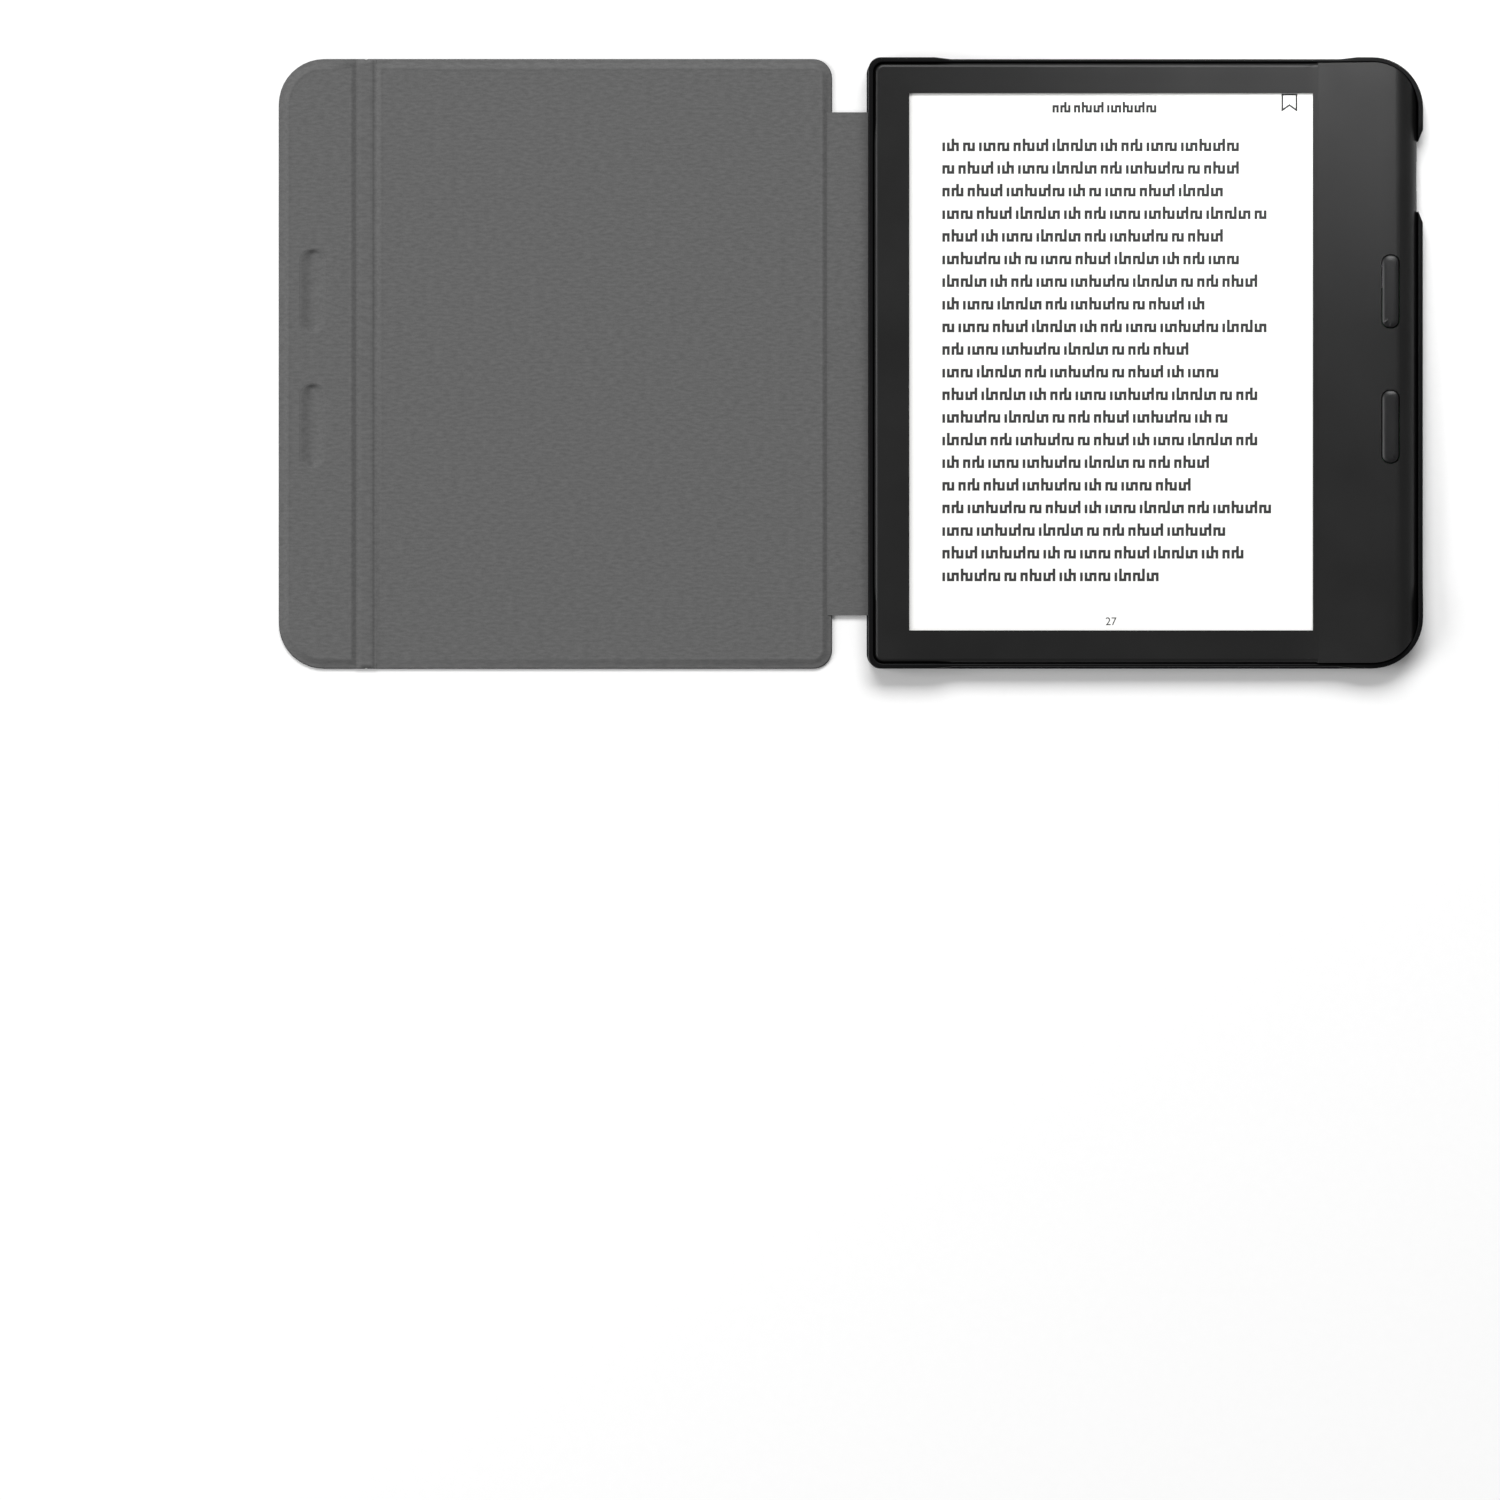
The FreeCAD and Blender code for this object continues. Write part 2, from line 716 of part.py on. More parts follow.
def power_supply():
    """The battery on its tape, and its lead to the main board."""
    x = ("battery_left", "battery_right")
    y = ("0 - battery_height / 2", "battery_height / 2")
    tape_x = ("battery_left + tape_margin", "battery_right - tape_margin")
    tape_y = ("tape_margin - battery_height / 2", "battery_height / 2 - tape_margin")
    bottom = "floor_top + tape_thickness"
    plate("battery_tape", tape_x, tape_y, ("floor_top", bottom))
    plate("battery", x, y, (bottom, f"{bottom} + battery_thickness"), ("2", "2", "2", "2"))
    lead_z = ("board_bottom + 0.1", "board_bottom + 0.1 + lead_thickness")
    plate("battery_lead", ("battery_right", "board_left"), ("10", "10 + lead_width"), lead_z)


def main_board():
    """The main board under the grip with its chips, the port board and what they carry."""
    body = new_body("main_board")
    board = rectangle(body, "board_outline", ("board_left", "board_right"), ("board_foot", "board_head"),
                      ("1", "1", "1", "1"), offset="board_bottom")
    pad(body, board, "board_thickness")
    pocket(body, circles(body, "board_screw_holes", board_screw_places(),
                         "screw_size + 2 * screw_fit", "board_bottom"))
    node(body, "main_board")
    middle = "(board_left + board_right) / 2"
    chips = (
        ("processor", "chip_size", "chip_size", "0", "chip_height"),
        ("memory_chip", "memory_size", "memory_size", "0 - 16", "chip_height"),
        ("storage_chip", "storage_size", "storage_size + 2", "0 - 30", "chip_height"),
        ("power_controller", "controller_size", "controller_size", "0 - 42", "chip_height"),
        ("radio_shield", "radio_length", "radio_length", "board_head - radio_length / 2 - 5",
         "shield_height"),
    )
    for label, across, along, centre, height in chips:
        plate(label, (f"{middle} - {across} / 2", f"{middle} + {across} / 2"),
              (f"{centre} - {along} / 2", f"{centre} + {along} / 2"),
              ("board_top", f"board_top + {height}"))
    plate("hall_sensor", ("board_right - sensor_margin - sensor_size", "board_right - sensor_margin"),
          ("hall_y - sensor_size / 2", "hall_y + sensor_size / 2"), ("board_top", "board_top + 0.8"))
    plate("port_board", ("port_board_left", "socket_left"), ("port_board_foot", "port_board_head"),
          ("port_board_bottom", "port_board_top"))
    plate("antenna", ("board_left + 2", "board_left + 2 + antenna_length"),
          ("cavity_half - 3 - antenna_width", "cavity_half - 3"),
          ("floor_top", "floor_top + antenna_thickness"))


def charging_socket():
    """The socket's metal shell, open towards the reader's side, and the tongue inside it."""
    z = ("back + socket_bottom", "back + socket_bottom + socket_height")
    y = ("notch_y - socket_width / 2", "notch_y + socket_width / 2")
    right = "reader_right - socket_setback"
    shell = block("socket_block", ("socket_left", right), y, z)
    hollow = block("socket_hollow", ("socket_left + socket_shell", f"{right} + 1"),
                   (f"{y[0]} + socket_shell", f"{y[1]} - socket_shell"),
                   (f"{z[0]} + socket_shell", f"{z[1]} - socket_shell"))
    node(cut("socket_cut", shell, hollow), "charging_socket")
    middle = "(back + socket_bottom + socket_height / 2)"
    plate("socket_tongue", ("socket_left + socket_shell", "socket_left + socket_shell + tongue_length"),
          ("notch_y - tongue_width / 2", "notch_y + tongue_width / 2"),
          (f"{middle} - tongue_height / 2", f"{middle} + tongue_height / 2"))


def ribbon(label, layer_bottom, layer_edge, y, width, landing):
    """A flat ribbon that leaves a layer's edge, drops to the main board and lies on it."""
    body = new_body(label)
    top = f"{layer_bottom} + ribbon_thickness"
    drop = "chassis_right + 0.05"
    points = ((layer_edge, layer_bottom), (drop, layer_bottom), (drop, landing),
              ("board_left + ribbon_reach", landing),
              ("board_left + ribbon_reach", f"{landing} + ribbon_thickness"),
              (f"{drop} + ribbon_thickness", f"{landing} + ribbon_thickness"),
              (f"{drop} + ribbon_thickness", top), (layer_edge, top))
    profile = outline(body, label + "_profile", points)
    bind(profile, AttachmentOffset__Base__z=f"0 - ({y})")
    pad(body, profile, width, symmetric=True)
    return node(body, label)


def ribbons():
    display_y = "(0 - 12)"
    below_display = f"{display_y} - display_ribbon_width / 2 - touch_ribbon_width / 2 - ribbon_gap"
    touch_y = f"max({below_display}; board_foot + boss_size + touch_ribbon_width / 2 + 0.5)"
    ribbon("display_ribbon", "chassis_top + 0.1", "stack_right", display_y, "display_ribbon_width",
           "board_top")
    ribbon("light_ribbon", "panel_top", "stack_right", "9", "light_ribbon_width", "board_top")
    ribbon("touch_ribbon", "guide_top", "stack_right", touch_y, "touch_ribbon_width", "board_top")
    body = new_body("port_ribbon")
    x = "(port_board_left + port_ribbon_width)"
    points = (("board_head - 2", "board_top"), ("board_head + 0.7", "board_top"),
              ("board_head + 0.7", "port_board_top"), ("port_board_foot + 3", "port_board_top"),
              ("port_board_foot + 3", "port_board_top + ribbon_thickness"),
              ("board_head + 0.7 - ribbon_thickness", "port_board_top + ribbon_thickness"),
              ("board_head + 0.7 - ribbon_thickness", "board_top + ribbon_thickness"),
              ("board_head - 2", "board_top + ribbon_thickness"))
    profile = outline(body, "port_ribbon_profile", points, "YZ_Plane", x)
    pad(body, profile, "port_ribbon_width", symmetric=True)
    node(body, "port_ribbon")


# The keys

def key_shape(label, row, grow, z):
    """A round-ended block on the grip's slope at a key's place, grown all round."""
    body = new_body(label)
    x = (f"0 - key_width / 2 - {grow}", f"key_width / 2 + {grow}")
    y = (f"0 - key_length / 2 - {grow}", f"key_length / 2 + {grow}")
    corner = f"key_corner + {grow}"
    pad(body, rectangle(body, label + "_outline", x, y, (corner,) * 4), between(*z))
    return on_slope(body, "key_along", KEY_ROWS[row], z[0])


def page_key(row):
    """A page key: its cap through the slot, the lip that keeps it in and the stem over its switch."""
    cap = key_shape(f"{row}_cap", row, "0", ("lip_base", "key_proud"))
    middle = KEY_ROWS[row]
    half = "key_length / 2 + key_lip"
    lip_x = ("key_along - key_width / 2 + 0.2", "key_along + key_width / 2 - 0.2")
    lip_y = (f"{middle} - {half}", f"{middle} + {half}")
    lip = slope_block(f"{row}_lip", lip_x, lip_y, ("lip_base", "lip_top"))
    stem = slope_block(f"{row}_stem", ("key_along - key_stem / 2", "key_along + key_stem / 2"),
                       (f"{middle} - key_stem / 2", f"{middle} + key_stem / 2"),
                       ("stem_base", "lip_base"))
    key = document.addObject("Part::MultiFuse", f"{row}_key")
    key.Shapes = [cap, lip, stem]
    return node(key, f"page_button_{row}")


def keys():
    """Both page keys, their board and its switches; the power key, its switch and the light pipe."""
    for row in KEY_ROWS:
        page_key(row)
    across = ("key_along - key_board_width / 2", "key_along + key_board_width / 2")
    board = slope_block("button_board", across, ("key_board_foot", "key_board_head"),
                        ("key_board_top - key_board_thickness", "key_board_top"))
    node(board, "button_board")
    switches = [
        slope_block(f"{row}_switch", ("key_along - switch_size / 2", "key_along + switch_size / 2"),
                    (f"{middle} - switch_size / 2", f"{middle} + switch_size / 2"),
                    ("key_board_top", "switch_top"))
        for row, middle in KEY_ROWS.items()]
    group("page_switches", switches)

    lip = ("floor_top + power_lip_lift", "floor_top + power_lip_lift + power_lip_height")
    key = document.addObject("Part::MultiFuse", "power_key")
    key.Shapes = [
        rod("power_cap", "power_x", "notch_y", ("back - power_key_proud", lip[1]), "power_key_size"),
        rod("power_flange", "power_x", "notch_y", lip, "power_key_size + 2 * power_lip")]
    node(key, "power_button")
    plate("power_switch", ("power_x - switch_size / 2", "power_x + switch_size / 2"),
          ("notch_y - switch_size / 2", "notch_y + switch_size / 2"),
          (f"{lip[1]} + key_travel + travel_spare", "port_board_bottom"))
    node(rod("status_light", "power_x", "notch_y + pipe_offset", ("back", "port_board_bottom"),
             "pipe_size"), "status_light")


# The case

def ramped(across, along):
    """Corners of a recess from its floor to twice its depth, with ends that slope over the tray's ramp."""
    (left, right), (floor, open_end) = across, along
    return ((f"{left} + tray_ramp / 2", floor), (f"{left} - tray_ramp * 1.5", open_end),
            (f"{right} + tray_ramp * 1.5", open_end), (f"{right} - tray_ramp / 2", floor))


def side_notch(body, name, offset):
    """Cut the case back to the reader's side beside the power key and the charging port."""
    pocket(body, outline(body, name, (
        ("reader_right", "notch_y - notch_length / 2 + notch_taper"),
        ("tray_right", "notch_y - notch_length / 2"),
        ("tray_right + 1", "notch_y - notch_length / 2"),
        ("tray_right + 1", "notch_y + notch_length / 2"),
        ("tray_right", "notch_y + notch_length / 2"),
        ("reader_right", "notch_y + notch_length / 2 - notch_taper")), "XY_Plane", offset))


def tray_shell():
    """The hard tray: a floor, a wall that stands higher at the corners, and the openings in both."""
    body = new_body("tray_shell")
    fit = "tray_fit"
    wall = "(tray_fit + tray_wall)"
    pad(body, reader_outline(body, "tray_outline", f"(0 - {wall})", "skin_thickness"),
        "tray_floor + reader_depth + tray_rise")
    pocket(body, reader_outline(body, "tray_hollow", f"(0 - {fit})", "back"))
    dip = ("front - tray_dip", "front + tray_dip + 2 * tray_rise")
    long_side = ("tray_left + tray_reach", "tray_right - tray_reach")
    short_side = ("tray_reach - case_half", "case_half - tray_reach")
    pocket(body, outline(body, "dip_head_foot", ramped(long_side, dip)), symmetric=True)
    pocket(body, outline(body, "dip_sides", ramped(short_side, dip), "YZ_Plane"), symmetric=True)
    for name, sign in (("relief_head", ""), ("relief_foot", "0 - ")):
        relief = (f"{sign}(case_half - tray_relief)", f"{sign}(case_half + tray_relief)")
        pocket(body, outline(body, name, ramped(long_side, relief), "XY_Plane", "skin_thickness"))
    side_notch(body, "tray_notch", "skin_thickness")
    pocket(body, circles(body, "tray_power_opening", [("power_x", "notch_y")], "power_opening",
                         "skin_thickness"))
    return node(body, "tray_shell")


def back_skin():
    """The cloth on the tray's back, with the power key's opening."""
    body = new_body("back_skin")
    near = "reader_corner + tray_fit + tray_wall"
    far = "grip_corner + tray_fit + tray_wall"
    cloth = rectangle(body, "back_skin_outline",
                      ("spine_fold + hinge_height + 0.1", "tray_right"), ("0 - case_half", "case_half"),
                      (near, far, far, near))
    pad(body, cloth, "skin_thickness")
    side_notch(body, "skin_notch", "0")
    pocket(body, circles(body, "skin_power_opening", [("power_x", "notch_y")], "power_opening"))
    return node(body, "back_skin")


def spine():
    """The spine between the two folds: cloth, a thin stiffener and the lining."""
    y = ("0 - spine_half", "spine_half")
    skin_x = ("cover_fold + hinge_height + 0.1", "spine_fold - 0.2")
    lining_x = ("cover_fold + hinge_height + 0.5", "spine_fold - 0.4")
    board_x = ("cover_fold + hinge_height + 1", "spine_fold - 0.8")
    stiffener_top = "skin_thickness + spine_board_thickness"
    plate("spine_skin", skin_x, y, ("0", "skin_thickness"))
    plate("spine_stiffener", board_x, y, ("skin_thickness", stiffener_top))
    plate("spine_lining", lining_x, y, (stiffener_top, "spine_thickness"))


def cover():
    """The cover's main panel: cloth, board and lining, from the flap's crease to the cover's fold."""
    board_top = "skin_thickness + cover_board_thickness"
    plate("cover_skin", ("flap_fold + crease_gap", "cover_right"), ("0 - case_half", "case_half"),
          ("0", "skin_thickness"), ("0.2", "hinge_corner", "hinge_corner", "0.2"))
    plate("cover_board", ("flap_fold + crease_half", "cover_right - board_rim"),
          ("board_rim - case_half", "case_half - board_rim"), ("skin_thickness", board_top),
          ("1", "hinge_corner - board_rim", "hinge_corner - board_rim", "1"))
    plate("cover_lining", ("flap_fold + 2 * crease_gap", "cover_right - lining_rim"),
          ("lining_rim - case_half", "case_half - lining_rim"), (board_top, "cover_thickness"),
          ("0.2", "hinge_corner - lining_rim", "hinge_corner - lining_rim", "0.2"))


def flap_slots(body, name, offset):
    """Cut the two slots that clear the page keys when the case is closed."""
    for row, middle in KEY_ROWS.items():
        slot = rectangle(body, f"{name}_{row}", ("slot_x - slot_width / 2", "slot_x + slot_width / 2"),
                         (f"{middle} - slot_length / 2", f"{middle} + slot_length / 2"),
                         ("slot_width * 0.49",) * 4, offset=offset)
        pocket(body, slot)


def flap():
    """The cover's edge flap: cloth, a narrow board with magnets in it, and the slotted lining."""
    board_top = "skin_thickness + cover_board_thickness"
    board_x = ("flap_fold - crease_half - flap_board_width", "flap_fold - crease_half")
    plate("flap_skin", ("cover_left", "flap_fold - crease_gap"), ("0 - case_half", "case_half"),
          ("0", "skin_thickness"), ("cover_corner", "0.2", "0.2", "cover_corner"))
    rim = f"cover_corner + cover_left - ({board_x[0]})"
    body = new_body("flap_board")
    board_y = ("board_rim - case_half", "case_half - board_rim")
    pad(body, rectangle(body, "flap_board_outline", board_x, board_y,
                        (rim, "flap_corner", "flap_corner", rim), offset="skin_thickness"),
        "cover_board_thickness")
    flap_x = f"({board_x[0]} + {board_x[1]}) / 2"
    places = [(flap_x, "magnet_y"), (flap_x, "0 - magnet_y")]
    pocket(body, circles(body, "magnet_holes", places, "magnet_size + 2 * screw_fit", "skin_thickness"))
    sleep_x = (f"{flap_x} - sleep_magnet_width / 2", f"{flap_x} + sleep_magnet_width / 2")
    sleep_y = ("hall_y - sleep_magnet_length / 2", "hall_y + sleep_magnet_length / 2")
    pocket(body, rectangle(body, "sleep_magnet_hole", sleep_x, sleep_y, offset="skin_thickness"))
    node(body, "flap_board")
    lining = new_body("flap_lining")
    lining_x = ("cover_left + lining_rim", "flap_fold - 2 * crease_gap")
    corner = "cover_corner - lining_rim"
    pad(lining, rectangle(lining, "flap_lining_outline", lining_x,
                          ("lining_rim - case_half", "case_half - lining_rim"),
                          (corner, "0.2", "0.2", corner), offset=board_top), "lining_thickness")
    flap_slots(lining, "lining_slot", board_top)
    node(lining, "flap_lining")
    magnet_z = ("skin_thickness", "skin_thickness + magnet_height")
    group("flap_magnets", [rod(f"flap_magnet_{number}", x, y, magnet_z, "magnet_size")
                           for number, (x, y) in enumerate(places)])
    plate("sleep_magnet", sleep_x, sleep_y, magnet_z)
    catch_z = ("floor_top", "floor_top + catch_magnet_height")
    catch_x = f"spine_fold + cover_fold - {flap_x}"
    group("catch_magnets", [rod(f"catch_magnet_{number}", catch_x, y, catch_z, "catch_magnet_size")
                            for number, y in enumerate(("magnet_y", "0 - magnet_y"))])


DERIVED["key_board_foot"] = f"{KEY_ROWS['lower']} - key_length / 2 - key_lip - 1 - post_length"
DERIVED["key_board_head"] = f"{KEY_ROWS['upper']} + key_length / 2 + key_lip + 1 + post_length"

front_frame()
rear_casing()
casing_seal()
stack()
screws("casing_screws", casing_screw_places(), "chassis_top", "screw_depth")
power_supply()
main_board()
screws("board_screws", board_screw_places(), "board_top", "(board_thickness + board_screw_depth)")
charging_socket()
ribbons()
keys()
tray_shell()
back_skin()
spine()
cover()
flap()

document.recompute()
for thing in document.Objects:
    if "Invalid" in thing.State or "Error" in thing.State:
        raise RuntimeError(f"{thing.Name} didn't build: {thing.State}")
for thing in nodes:
    if thing.Shape.isNull() or not thing.Shape.isValid() or not thing.Shape.Solids:
        raise RuntimeError(f"{thing.Label} has no valid shape")
os.makedirs("parts", exist_ok=True)
for thing in nodes:
    thing.Shape.exportStep(os.path.join("parts", thing.Label + ".step"))
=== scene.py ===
"""An e-reader in its open folio case: its moulded casing, its page and the cloth of its cover."""
import json
import math

import bmesh
import bpy
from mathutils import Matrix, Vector


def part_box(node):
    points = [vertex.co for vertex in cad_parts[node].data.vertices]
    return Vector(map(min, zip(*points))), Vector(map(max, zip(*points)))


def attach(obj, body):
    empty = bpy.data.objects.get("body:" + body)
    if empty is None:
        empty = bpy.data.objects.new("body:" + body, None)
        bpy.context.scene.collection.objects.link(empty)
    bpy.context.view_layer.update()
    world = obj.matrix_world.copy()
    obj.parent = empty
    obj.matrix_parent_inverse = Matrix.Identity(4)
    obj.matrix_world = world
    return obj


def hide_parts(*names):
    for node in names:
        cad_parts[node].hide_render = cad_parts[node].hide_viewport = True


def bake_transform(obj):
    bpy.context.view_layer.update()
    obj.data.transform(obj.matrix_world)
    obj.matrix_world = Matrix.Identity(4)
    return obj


bl_info = {
    "name": "E-reader folio",
    "version": (1, 0, 0),
    "blender": (4, 5, 0),
    "location": "View3D > Sidebar > Folio",
    "description": "Models the reader's casing, its page and the cloth of its case",
    "category": "Object",
}

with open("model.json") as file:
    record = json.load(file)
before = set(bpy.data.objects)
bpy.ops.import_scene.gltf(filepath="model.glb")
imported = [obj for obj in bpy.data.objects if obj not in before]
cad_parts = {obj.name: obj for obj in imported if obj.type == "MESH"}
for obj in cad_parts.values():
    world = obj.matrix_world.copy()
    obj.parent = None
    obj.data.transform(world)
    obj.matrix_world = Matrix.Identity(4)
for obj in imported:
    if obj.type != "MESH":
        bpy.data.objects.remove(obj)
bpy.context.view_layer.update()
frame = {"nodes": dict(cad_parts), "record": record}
MM = 0.001


# Places read from the frame

FILM_LOW, FILM_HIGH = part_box("touch_film")
COVER_LOW, COVER_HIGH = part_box("cover_skin")
FLAP_LOW, FLAP_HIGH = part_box("flap_skin")
FLAP_BOARD_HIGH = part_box("flap_board")[1]
COVER_BOARD_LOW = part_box("cover_board")[0]
LINING_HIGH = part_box("cover_lining")[1]
SPINE_LOW, SPINE_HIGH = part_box("spine_skin")
TRAY_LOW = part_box("tray_shell")[0]
KEY_BOXES = {row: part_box(f"page_button_{row}") for row in ("upper", "lower")}
JOINT_PLACES = {joint["name"]: joint.get("pos_m") for joint in frame["record"]["behaviour"]["joints"]}
SPINE_FOLD, COVER_FOLD, FLAP_FOLD = (JOINT_PLACES[f"{name}_fold"][0] for name in ("spine", "cover", "flap"))

# The grip's slope in degrees; where its foot is blended in and its ridge rounded over, as cuts in millimetres
# across the front; and the heights between which that fades out.
GRIP_ANGLE = 7.1
GRIP_BLEND_CUTS = (120.5, 121.2, 121.9, 122.6, 123.3, 124, 124.7, 125.4, 126.1, 126.8, 127.5)
GRIP_RIDGE_CUTS = (140.2, 141, 141.8, 142.6, 143.4, 144.2, 145, 146)
GRIP_FOOT, GRIP_HEAD = 4.2 * MM, 8.3 * MM

# A page key's crown: the least area of the face that it starts from, in square metres; how far its rim is let
# down; then the steps back up, as insets and rises in millimetres. Both keys are of one size.
KEY_TOP_AREA = 4e-5
KEY_DROP = 0.34
KEY_CROWN = ((0.3, 0.15), (0.35, 0.1), (0.4, 0.06), (0.45, 0.03))

# Corner radii of the case: at the free edge, and beside the spine.
FREE_CORNER = 12 * MM
HINGE_CORNER = 5 * MM


# Modelling

def clear_selection():
    """Leave edit mode and select nothing."""
    if bpy.context.object and bpy.context.object.mode != "OBJECT":
        bpy.ops.object.mode_set(mode="OBJECT")
    bpy.ops.object.select_all(action="DESELECT")


def take(piece):
    """Make the piece the one selected object."""
    clear_selection()
    piece.select_set(True)
    bpy.context.view_layer.objects.active = piece


def edit(piece):
    """Open a piece for editing with nothing in it selected."""
    take(piece)
    bpy.ops.object.mode_set(mode="EDIT")
    bpy.ops.mesh.select_all(action="DESELECT")


def pick(piece, wanted, kind="VERT"):
    """Select the vertices, edges or faces of the edited piece for which wanted is true."""
    bpy.context.tool_settings.mesh_select_mode = (kind == "VERT", kind == "EDGE", kind == "FACE")
    bpy.ops.mesh.select_all(action="DESELECT")
    mesh = bmesh.from_edit_mesh(piece.data)
    chosen = 0
    for item in {"VERT": mesh.verts, "EDGE": mesh.edges, "FACE": mesh.faces}[kind]:
        if wanted(item):
            item.select_set(True)
            chosen += 1
    if not chosen:
        raise ValueError(f"{piece.name}: nothing was selected")
    mesh.select_flush_mode()
    bmesh.update_edit_mesh(piece.data)


def middle(item):
    """The middle of an edge or face."""
    return sum((vertex.co for vertex in item.verts), Vector()) / len(item.verts)


def modifier(piece, kind, **settings):
    """Add a modifier and apply it."""
    take(piece)
    added = piece.modifiers.new(kind.lower(), kind)
    for name, value in settings.items():
        setattr(added, name, value)
    bpy.ops.object.modifier_apply(modifier=added.name)


def finish(piece, material, body, angle=38):
    """Put the place into the mesh, smooth it below the angle, and give it its material and body."""
    take(piece)
    bpy.ops.object.transform_apply(location=True, rotation=True, scale=True)
    bpy.ops.object.shade_smooth_by_angle(angle=math.radians(angle))
    modifier(piece, "WEIGHTED_NORMAL", keep_sharp=True)
    piece.data.materials.clear()
    piece.data.materials.append(material)
    if body:
        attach(piece, body)
    clear_selection()
    return piece


def outline_face(name, low, high, height, radii=(0, 0, 0, 0), segments=10):
    """A flat face with rounded corners: lower left, lower right, upper right and upper left."""
    clear_selection()
    centre = ((low[0] + high[0]) / 2, (low[1] + high[1]) / 2, height)
    bpy.ops.mesh.primitive_plane_add(size=1, location=centre)
    piece = bpy.context.object
    piece.name = piece.data.name = name
    piece.scale = (high[0] - low[0], high[1] - low[1], 1)
    bpy.ops.object.transform_apply(location=True, rotation=True, scale=True)
    edit(piece)
    corners = ((low[0], low[1]), (high[0], low[1]), (high[0], high[1]), (low[0], high[1]))
    for (x, y), radius in zip(corners, radii):
        if radius:
            pick(piece, lambda vertex: (vertex.co - Vector((x, y, height))).length < 1e-5)
            bpy.ops.mesh.bevel(affect="VERTICES", offset=radius, segments=segments, profile=0.5)
    pick(piece, lambda face: True, "FACE")
    return piece


def extrude(rise):
    """Extrude the selected face straight up or down."""
    bpy.ops.mesh.extrude_region_move(TRANSFORM_OT_translate={"value": (0, 0, rise)})


def steps(profile, side=1):
    """Inset the selected level face in steps: each is a width and a rise, or a fall if side is -1."""
    for width, rise in profile:
        bpy.ops.mesh.inset(thickness=width * MM, depth=side * rise * MM, use_even_offset=True)


def face_outwards(piece):
    """Turn the closed piece's faces outwards."""
    bpy.ops.mesh.select_all(action="SELECT")
    bpy.ops.mesh.normals_make_consistent(inside=False)
    if bmesh.from_edit_mesh(piece.data).calc_volume(signed=True) < 0:
        bpy.ops.mesh.flip_normals()


def narrow(half, inset):
    """Draw the selected face in by an inset across and along, and return its new half size."""
    smaller = half - Vector(inset)
    bpy.ops.transform.resize(value=(smaller.x / half.x, smaller.y / half.y, smaller.x / half.x))
    return smaller


def refined_copy(node, name, ease, material, body, shape=None):
    """The node's own shape as one welded mesh, shaped and with its sharp edges eased, in the node's place."""
    clear_selection()
    source = frame["nodes"][node]
    piece = bpy.data.objects.new(name, source.data.copy())
    bpy.context.scene.collection.objects.link(piece)
    piece.data.name = name
    edit(piece)
    bpy.ops.mesh.select_all(action="SELECT")
    bpy.ops.mesh.remove_doubles(threshold=2e-6)
    bpy.ops.mesh.normals_make_consistent(inside=False)
    bpy.ops.mesh.dissolve_limited(angle_limit=math.radians(0.5))
    if shape:
        shape(piece)
    modifier(piece, "BEVEL", width=ease, segments=3, limit_method="ANGLE", angle_limit=math.radians(30))
    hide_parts(node)
    return finish(piece, material, body)


# Materials

def linear(code):
    """An sRGB hex colour as linear RGBA."""
    parts = [int(code[place:place + 2], 16) / 255 for place in (1, 3, 5)]
    return (*(part / 12.92 if part <= 0.04045 else ((part + 0.055) / 1.055) ** 2.4 for part in parts), 1.0)


def add(tree, kind, inputs=None, **settings):
    """Add a node with its settings; each input is a value, or the socket that feeds it."""
    node = tree.nodes.new(kind)
    for name, value in settings.items():
        setattr(node, name, value)
    for name, value in (inputs or {}).items():
        if isinstance(value, bpy.types.NodeSocket):
            tree.links.new(value, node.inputs[name])
        else:
            node.inputs[name].default_value = value
    return node


def start(name, **values):
    """A new material with its shader's own values set: its tree, its shader and the object's coordinates."""
    material = bpy.data.materials.new(name)
    material.use_nodes = True
    tree = material.node_tree
    tree.nodes.clear()
    place = add(tree, "ShaderNodeTexCoord").outputs["Object"]
    inputs = {key.replace("_", " "): value for key, value in values.items()}
    shader = add(tree, "ShaderNodeBsdfPrincipled", inputs)
    add(tree, "ShaderNodeOutputMaterial", {"Surface": shader.outputs["BSDF"]})
    return material, tree, shader, place


def tones(tree, factor, colour, spread):
    """The colour, from darker to lighter by the spread as the factor goes from 0 to 1."""
    dark = tuple(part * (1 - spread) for part in colour[:3]) + (1.0,)
    light = tuple(part * (1 + spread) for part in colour[:3]) + (1.0,)
    return add(tree, "ShaderNodeMix", {0: factor, 6: dark, 7: light}, data_type="RGBA").outputs[2]


def surface(tree, shader, colour, roughness=None, height=None, strength=0.3, depth=0.1):
    """Feed the shader's colour, and its roughness and a bump of the depth in millimetres if there are any."""
    tree.links.new(colour, shader.inputs["Base Color"])
    if roughness is not None:
        tree.links.new(roughness, shader.inputs["Roughness"])
    if height is not None:
        bump = add(tree, "ShaderNodeBump", {"Height": height, "Strength": strength, "Distance": depth * MM})
        tree.links.new(bump.outputs["Normal"], shader.inputs["Normal"])


def made(name, maker, *values, **settings):
    """The material of that name, made the first time it is asked for."""
    return bpy.data.materials.get(name) or maker(name, *values, **settings)


